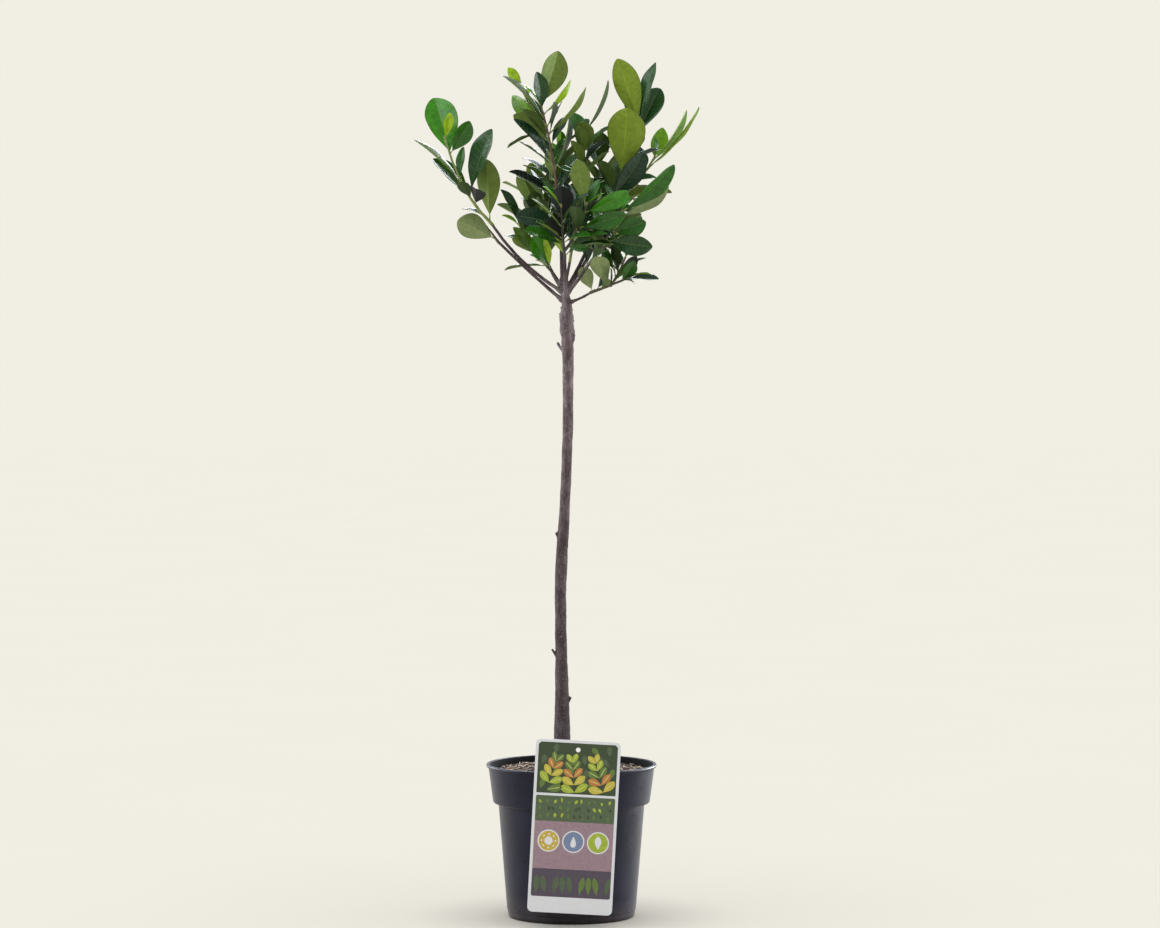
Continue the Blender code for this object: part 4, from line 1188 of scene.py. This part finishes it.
def pot_profile():
    inner_top = COLLAR_TOP_RADIUS - WALL
    return [
        (0, 0),
        (FOOT_RADIUS - BASE_ROUNDING, 0),
        (FOOT_RADIUS - 0.4 * MM, BASE_ROUNDING),
        (FOOT_RADIUS, FOOT_HEIGHT - 0.4 * MM),
        (BODY_FOOT_RADIUS, FOOT_HEIGHT + 0.4 * MM),
        (BODY_TOP_RADIUS, LEDGE_HEIGHT),
        (COLLAR_FOOT_RADIUS - 1.5 * MM, COLLAR_FOOT_HEIGHT - 1.6 * MM),
        (COLLAR_FOOT_RADIUS, COLLAR_FOOT_HEIGHT),
        (COLLAR_TOP_RADIUS, POT_HEIGHT - LIP_DEPTH - 1 * MM),
        (RIM_RADIUS, POT_HEIGHT - LIP_DEPTH),
        (RIM_RADIUS, POT_HEIGHT - 0.8 * MM),
        (RIM_RADIUS - 0.7 * MM, POT_HEIGHT),
        (inner_top + 0.8 * MM, POT_HEIGHT),
        (inner_top, POT_HEIGHT - 1 * MM),
        (COLLAR_FOOT_RADIUS - WALL, COLLAR_FOOT_HEIGHT + 1.5 * MM),
        (BODY_TOP_RADIUS - WALL, LEDGE_HEIGHT + 1 * MM),
        (FOOT_RADIUS - WALL - 1.5 * MM, FLOOR),
        (0, FLOOR),
    ]


def build_pot():
    shell, holes = Skin(), Skin()
    shell.add(turned(filleted(pot_profile(), 1.6 * MM), POT_FACETS), "pot_satin")
    for k in range(DRAIN_COUNT):
        middle = compass(2 * pi * (k + 0.5) / DRAIN_COUNT, DRAIN_CIRCLE)
        ends = [middle - SKY * 5 * MM, middle + SKY * 10 * MM]
        holes.add(tube(ends, [DRAIN_RADIUS] * 2, DRAIN_FACETS), "pot_satin")
    cutter = helper("drains", holes.mesh("drains"))
    mesh = modified(shell, "BOOLEAN", operation="DIFFERENCE", solver="EXACT", object=cutter)
    bpy.data.objects.remove(cutter)
    mesh.shade_smooth()
    mesh.set_sharp_from_angle(angle=radians(50))
    piece("pot_shell", mesh, "pot_plastic", "pot")


# Soil
def soil_height(x, y):
    """The crumbly surface: higher round the trunk, rough all over."""
    share = min(1, max(0, (hypot(x, y) - SOIL_CROWN_RADIUS) / (SOIL_RADIUS - SOIL_CROWN_RADIUS)))
    height = SOIL_CROWN_HEIGHT + (SOIL_EDGE_HEIGHT - SOIL_CROWN_HEIGHT) * share
    at = Vector((x, y, 0)) / MM
    height += noise.noise(at / 14) * 2.2 * MM
    return height + noise.fractal(at / 3.5, 1.0, 2.0, 3) * 0.9 * MM


def on_soil(point, above=0.0):
    return Vector((point.x, point.y, soil_height(point.x, point.y) + above))


def build_soil():
    """The root ball as one closed body with a rough top."""
    side = [
        (FOOT_RADIUS - WALL - 1.8 * MM, FLOOR + GAP),
        (BODY_TOP_RADIUS - WALL - GAP, LEDGE_HEIGHT + 1.3 * MM),
        (COLLAR_FOOT_RADIUS - WALL - GAP, COLLAR_FOOT_HEIGHT + 1.8 * MM),
    ]
    rings = [[compass(a, radius, height) for a in turns(SOIL_FACETS)] for radius, height in side]
    for k in range(SOIL_RINGS, 0, -1):
        rings.append([on_soil(compass(a, SOIL_RADIUS * k / SOIL_RINGS)) for a in turns(SOIL_FACETS)])
    bed = Skin()
    bed.add(loft(rings, on_soil(Vector())), "soil_crumbs")
    bed.piece("soil_bed", "potting_soil", "soil")


def chip_shape(middle, dice):
    """A shard of bark: a few-sided sliver with broken ends, lying any way up."""
    length, width = dice.uniform(2.5, 8) * MM, dice.uniform(0.8, 2.4) * MM
    thick = width * dice.uniform(0.25, 0.6)
    heading = dice.uniform(0, 2 * pi)
    along = compass(heading, 1, dice.uniform(-0.35, 0.35)).normalized()
    across = along.cross(SKY).normalized()
    up = across.cross(along)
    rings = []
    for share, size in ((-0.5, 0.55), (-0.2, 1), (0.25, 0.9), (0.5, 0.4)):
        ring = []
        for turn in turns(5):
            jitter = dice.uniform(0.7, 1.2) * size / 2
            edge = across * (cos(turn) * width * jitter) + up * (sin(turn) * thick * jitter)
            ring.append(middle + along * (length * share) + edge)
        rings.append(ring)
    return loft(rings)


def fibre_shape(middle, dice):
    heading = dice.uniform(0, 2 * pi)
    length = dice.uniform(5, 14) * MM
    line = []
    for k in range(6):
        bow = compass(heading + pi / 2, dice.uniform(-0.6, 0.6) * MM)
        spot = middle + compass(heading, (k / 5 - 0.5) * length) + bow
        line.append(on_soil(spot, dice.uniform(0.3, 1.4) * MM))
    return tube(line, [dice.uniform(0.18, 0.4) * MM] * 6, 4)


def build_litter():
    """Bark chips and fibres strewn over the soil."""
    dice = random.Random(LITTER_SEED)
    litter = Skin()
    for kind, (count, _) in LITTER.items():
        make = fibre_shape if kind == "fibre" else chip_shape
        for _ in range(count):
            radius = sqrt(dice.uniform(0.03, 1)) * (SOIL_RADIUS - 7 * MM)
            middle = compass(dice.uniform(0, 2 * pi), radius)
            litter.add(make(on_soil(middle, 0.6 * MM), dice), kind)
    litter.piece("soil_litter", "potting_soil")


# Label: the outlines are in millimetres to the right and up from the card's middle
def printed(outline, layer):
    """(points, faces) of a thin flat print, from inside the card to its layer in front of it."""
    across, up = cos(LABEL_TURN), sin(LABEL_TURN)
    rings = []
    for out in (-0.05, layer * PRINT_LAYER):
        y = LABEL_FRONT - out * MM
        ring = [(px * across + py * up, py * across - px * up) for px, py in outline]
        rings.append([Vector((LABEL_CENTRE[0] + px * MM, y, LABEL_CENTRE[1] + py * MM)) for px, py in ring])
    return loft(rings)


def arc(x, y, radius, angles):
    return [(x + radius * cos(a), y + radius * sin(a)) for a in angles]


def block(low, high, corner=2):
    """The outline of a panel with rounded corners, as wide as the print."""
    wide = PRINT_HALF_WIDTH - corner
    top, foot = high - corner, low + corner
    outline = []
    for x, y, first in ((wide, top, 0), (-wide, top, 90), (-wide, foot, 180), (wide, foot, 270)):
        outline += arc(x, y, corner, [radians(first + 22.5 * k) for k in range(5)])
    return outline


def disc(x, y, radius, sides=40):
    return arc(x, y, radius, turns(sides))


def drop(x, y, size):
    """A water drop."""
    wide = size * 0.7
    return [(x - wide * sin(a) * sin(a / 2) ** 1.5, y + size * cos(a)) for a in turns(40)]


def leaf_print(x, y, length, width, heading):
    """A plain leaf outline, its foot at x, y."""
    along = compass(radians(heading))
    shares = [i / 12 for i in range(13)]
    outline = []
    for side, share in [(-1, share) for share in shares] + [(1, share) for share in shares[-2:0:-1]]:
        run, half = length * share, side * width * blade_half_width(share)
        outline.append((x + along.x * run - along.y * half, y + along.y * run + along.x * half))
    return outline


def holed_panel(side):
    """The left or right half of the upper panel, with half of the punched hole left out."""
    edge = arc(*LABEL_HOLE, LABEL_HOLE_RADIUS, [radians(90 - side * 15 * k) for k in range(13)])
    wide = side * PRINT_HALF_WIDTH
    outline = [(0, 40), (wide, 40), (wide, 99), (wide - side * 3, 102), (0, 102)] + edge
    return outline if side > 0 else outline[::-1]


def fits_panel(outline):
    """Whether a print stays inside the upper panel and clear of the punched hole."""
    return all(abs(x) < 47 and 41 < y < 101 and dist((x, y), LABEL_HOLE) > 4.5 for x, y in outline)


def sprig_leaves():
    """Three upright sprigs of paired leaves, each as foot, length, width, heading and finish."""
    finishes = ["print_leaf_mid", "print_leaf_bright", "print_leaf_gold", "print_leaf_amber"]
    for sprig, (x, y, heading) in enumerate(((-36, 44, 74), (-2, 42, 96), (33, 44, 108))):
        for k in range(5):
            foot = compass(radians(heading), 9 * k) + Vector((x, y, 0))
            for side in (-1, 1):
                spread = heading + side * (62 - 8 * k)
                yield foot.x, foot.y, 19 - 1.6 * k, 9.5 - 0.7 * k, spread, finishes[(k + sprig) % 4]


def label_design():
    """A generic plant label: leafy sprigs above, three round care marks below. Outline, layer, finish."""
    dice = random.Random(PRINT_SEED)
    for side in (-1, 1):
        yield holed_panel(side), 1, "print_leaf_dark"
    for k in range(24):
        x, y = -42 + 16.5 * (k % 6) + dice.uniform(-2, 2), 44 + 14.5 * (k // 6) + dice.uniform(0, 3)
        outline = leaf_print(x, y, 12, 6.5, 90 + dice.uniform(-50, 50))
        if fits_panel(outline):
            yield outline, 1.6, dice.choice(["print_hedge", "print_leaf_mid"])
    for x, y, length, width, heading, finish in sprig_leaves():
        outline = leaf_print(x, y, length, width, heading)
        if fits_panel(outline):
            yield outline, 2, finish
            yield leaf_print(x, y, length * 0.94, 0.9, heading), 3, "print_leaf_rib"
    yield block(-86, 37), 1, "print_mauve"
    yield block(-86, -52), 2, "print_plum"
    yield block(6, 37), 2, "print_hedge"
    for x, finish in ((-30, "print_sun"), (0, "print_water"), (30, "print_leaf_bright")):
        yield disc(x, -18, 13.5), 3, "card_white"
        yield disc(x, -18, 12), 4, finish
    yield disc(-30, -18, 5), 5, "card_white"
    for x, y in arc(-30, -18, 8.4, turns(8)):
        yield disc(x, y, 1.1, 12), 5, "card_white"
    yield drop(0, -18, 7), 5, "card_white"
    yield leaf_print(30, -26, 16, 8, 90), 5, "card_white"
    for k in range(33):
        x, y = -41 + 8.2 * (k % 11) + dice.uniform(-1, 1), 9 + 9 * (k // 11) + dice.uniform(0, 2)
        finish = dice.choice(["print_leaf_bright", "print_leaf_mid", "print_leaf_dark"])
        yield leaf_print(x, y, dice.uniform(4, 6.5), dice.uniform(2.4, 3.6), dice.uniform(50, 130)), 3, finish
    for k in range(9):
        outline = leaf_print(-42 + 10.5 * k, -82, 22, 7, 90 + 12 * sin(k * 2.1))
        yield outline, 3, dice.choice(["print_leaf_mid", "print_hedge"])


def build_label():
    prints = Skin()
    for outline, layer, finish in label_design():
        prints.add(printed(outline, layer), finish)
    mesh = prints.mesh("label_print")
    mesh.shade_flat()
    piece("label_print", mesh, "label_card")
    for node, finish in (("label_card", "card_white"), ("label_hook", "clip_white")):
        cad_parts[node].material_slots[0].material = bpy.data.materials[finish]


# Studio
def aimed(obj, place, direction):
    obj.location = place
    obj.rotation_euler = direction.to_track_quat("-Z", "Y").to_euler()
    return obj


def lamp(kind, place, target, power, receivers):
    """A light that falls on these objects only."""
    light = bpy.data.lights.new("lamp", kind)
    light.energy = power
    obj = aimed(helper("lamp", light), place, Vector(target) - Vector(place))
    lit = bpy.data.collections.new("lit")
    for receiver in receivers:
        lit.objects.link(receiver)
    obj.light_linking.receiver_collection = lit
    return light


def softbox(place, target_height, size, power, receivers):
    light = lamp("AREA", place, (0, 0, target_height), power, receivers)
    light.color = (0.9, 0.95, 1)
    light.shape = "RECTANGLE"
    light.size, light.size_y = size


def build_world():
    """Plain daylight from all round, and the pale backdrop where the camera looks past the floor."""
    world = bpy.data.worlds.new("studio")
    bpy.context.scene.world = world
    world.use_nodes = True
    tree = world.node_tree
    glow = add_node(tree, "ShaderNodeBackground", {"Color": (1, 1, 1, 1), "Strength": DAYLIGHT})
    backdrop = add_node(tree, "ShaderNodeBackground", {"Color": (*linear(*BACKDROP), 1)})
    seen = add_node(tree, "ShaderNodeLightPath").outputs["Is Camera Ray"]
    mix = add_node(tree, "ShaderNodeMixShader", {0: seen, 1: glow.outputs[0], 2: backdrop.outputs[0]})
    tree.links.new(mix.outputs[0], tree.nodes["World Output"].inputs["Surface"])


def build_studio():
    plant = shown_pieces()
    plate = Skin()
    profile = [(0, -20 * MM), (FLOOR_REACH, -20 * MM), (FLOOR_REACH, -0.2 * MM), (0, -0.2 * MM)]
    plate.add(turned(profile, 96), "studio_floor")
    floor = helper("studio_floor", plate.mesh("studio_floor"))
    floor.data.shade_flat()
    build_world()
    lamp("SUN", (0, 0, 4), (0, 0, 0), FLOOR_WASH, [floor]).angle = radians(60)
    for box in SOFTBOXES:
        softbox(*box, plant)
    for box in POT_SOFTBOXES:
        softbox(*box, [obj for obj in plant if obj.name.startswith("pot")])


def build_camera():
    camera = bpy.data.cameras.new("camera")
    camera.sensor_width = 36
    camera.lens = CAMERA_LENS
    camera.clip_end = 60
    back = Vector((0, -cos(CAMERA_PITCH), sin(CAMERA_PITCH)))
    bpy.context.scene.camera = aimed(helper("camera", camera), AIM + back * CAMERA_DISTANCE, -back)
    bpy.context.scene.view_settings.view_transform = "Standard"


noise.seed_set(SEED)
build_camera()
leaf_finishes()
stem_finishes()
bark_finish()
pot_finish()
soil_finishes()
label_finishes()
floor_finish()
bough_lines = grow_boughs()
build_bark(bough_lines)
build_foliage(bough_lines)
build_pot()
build_soil()
build_litter()
build_label()
build_studio()
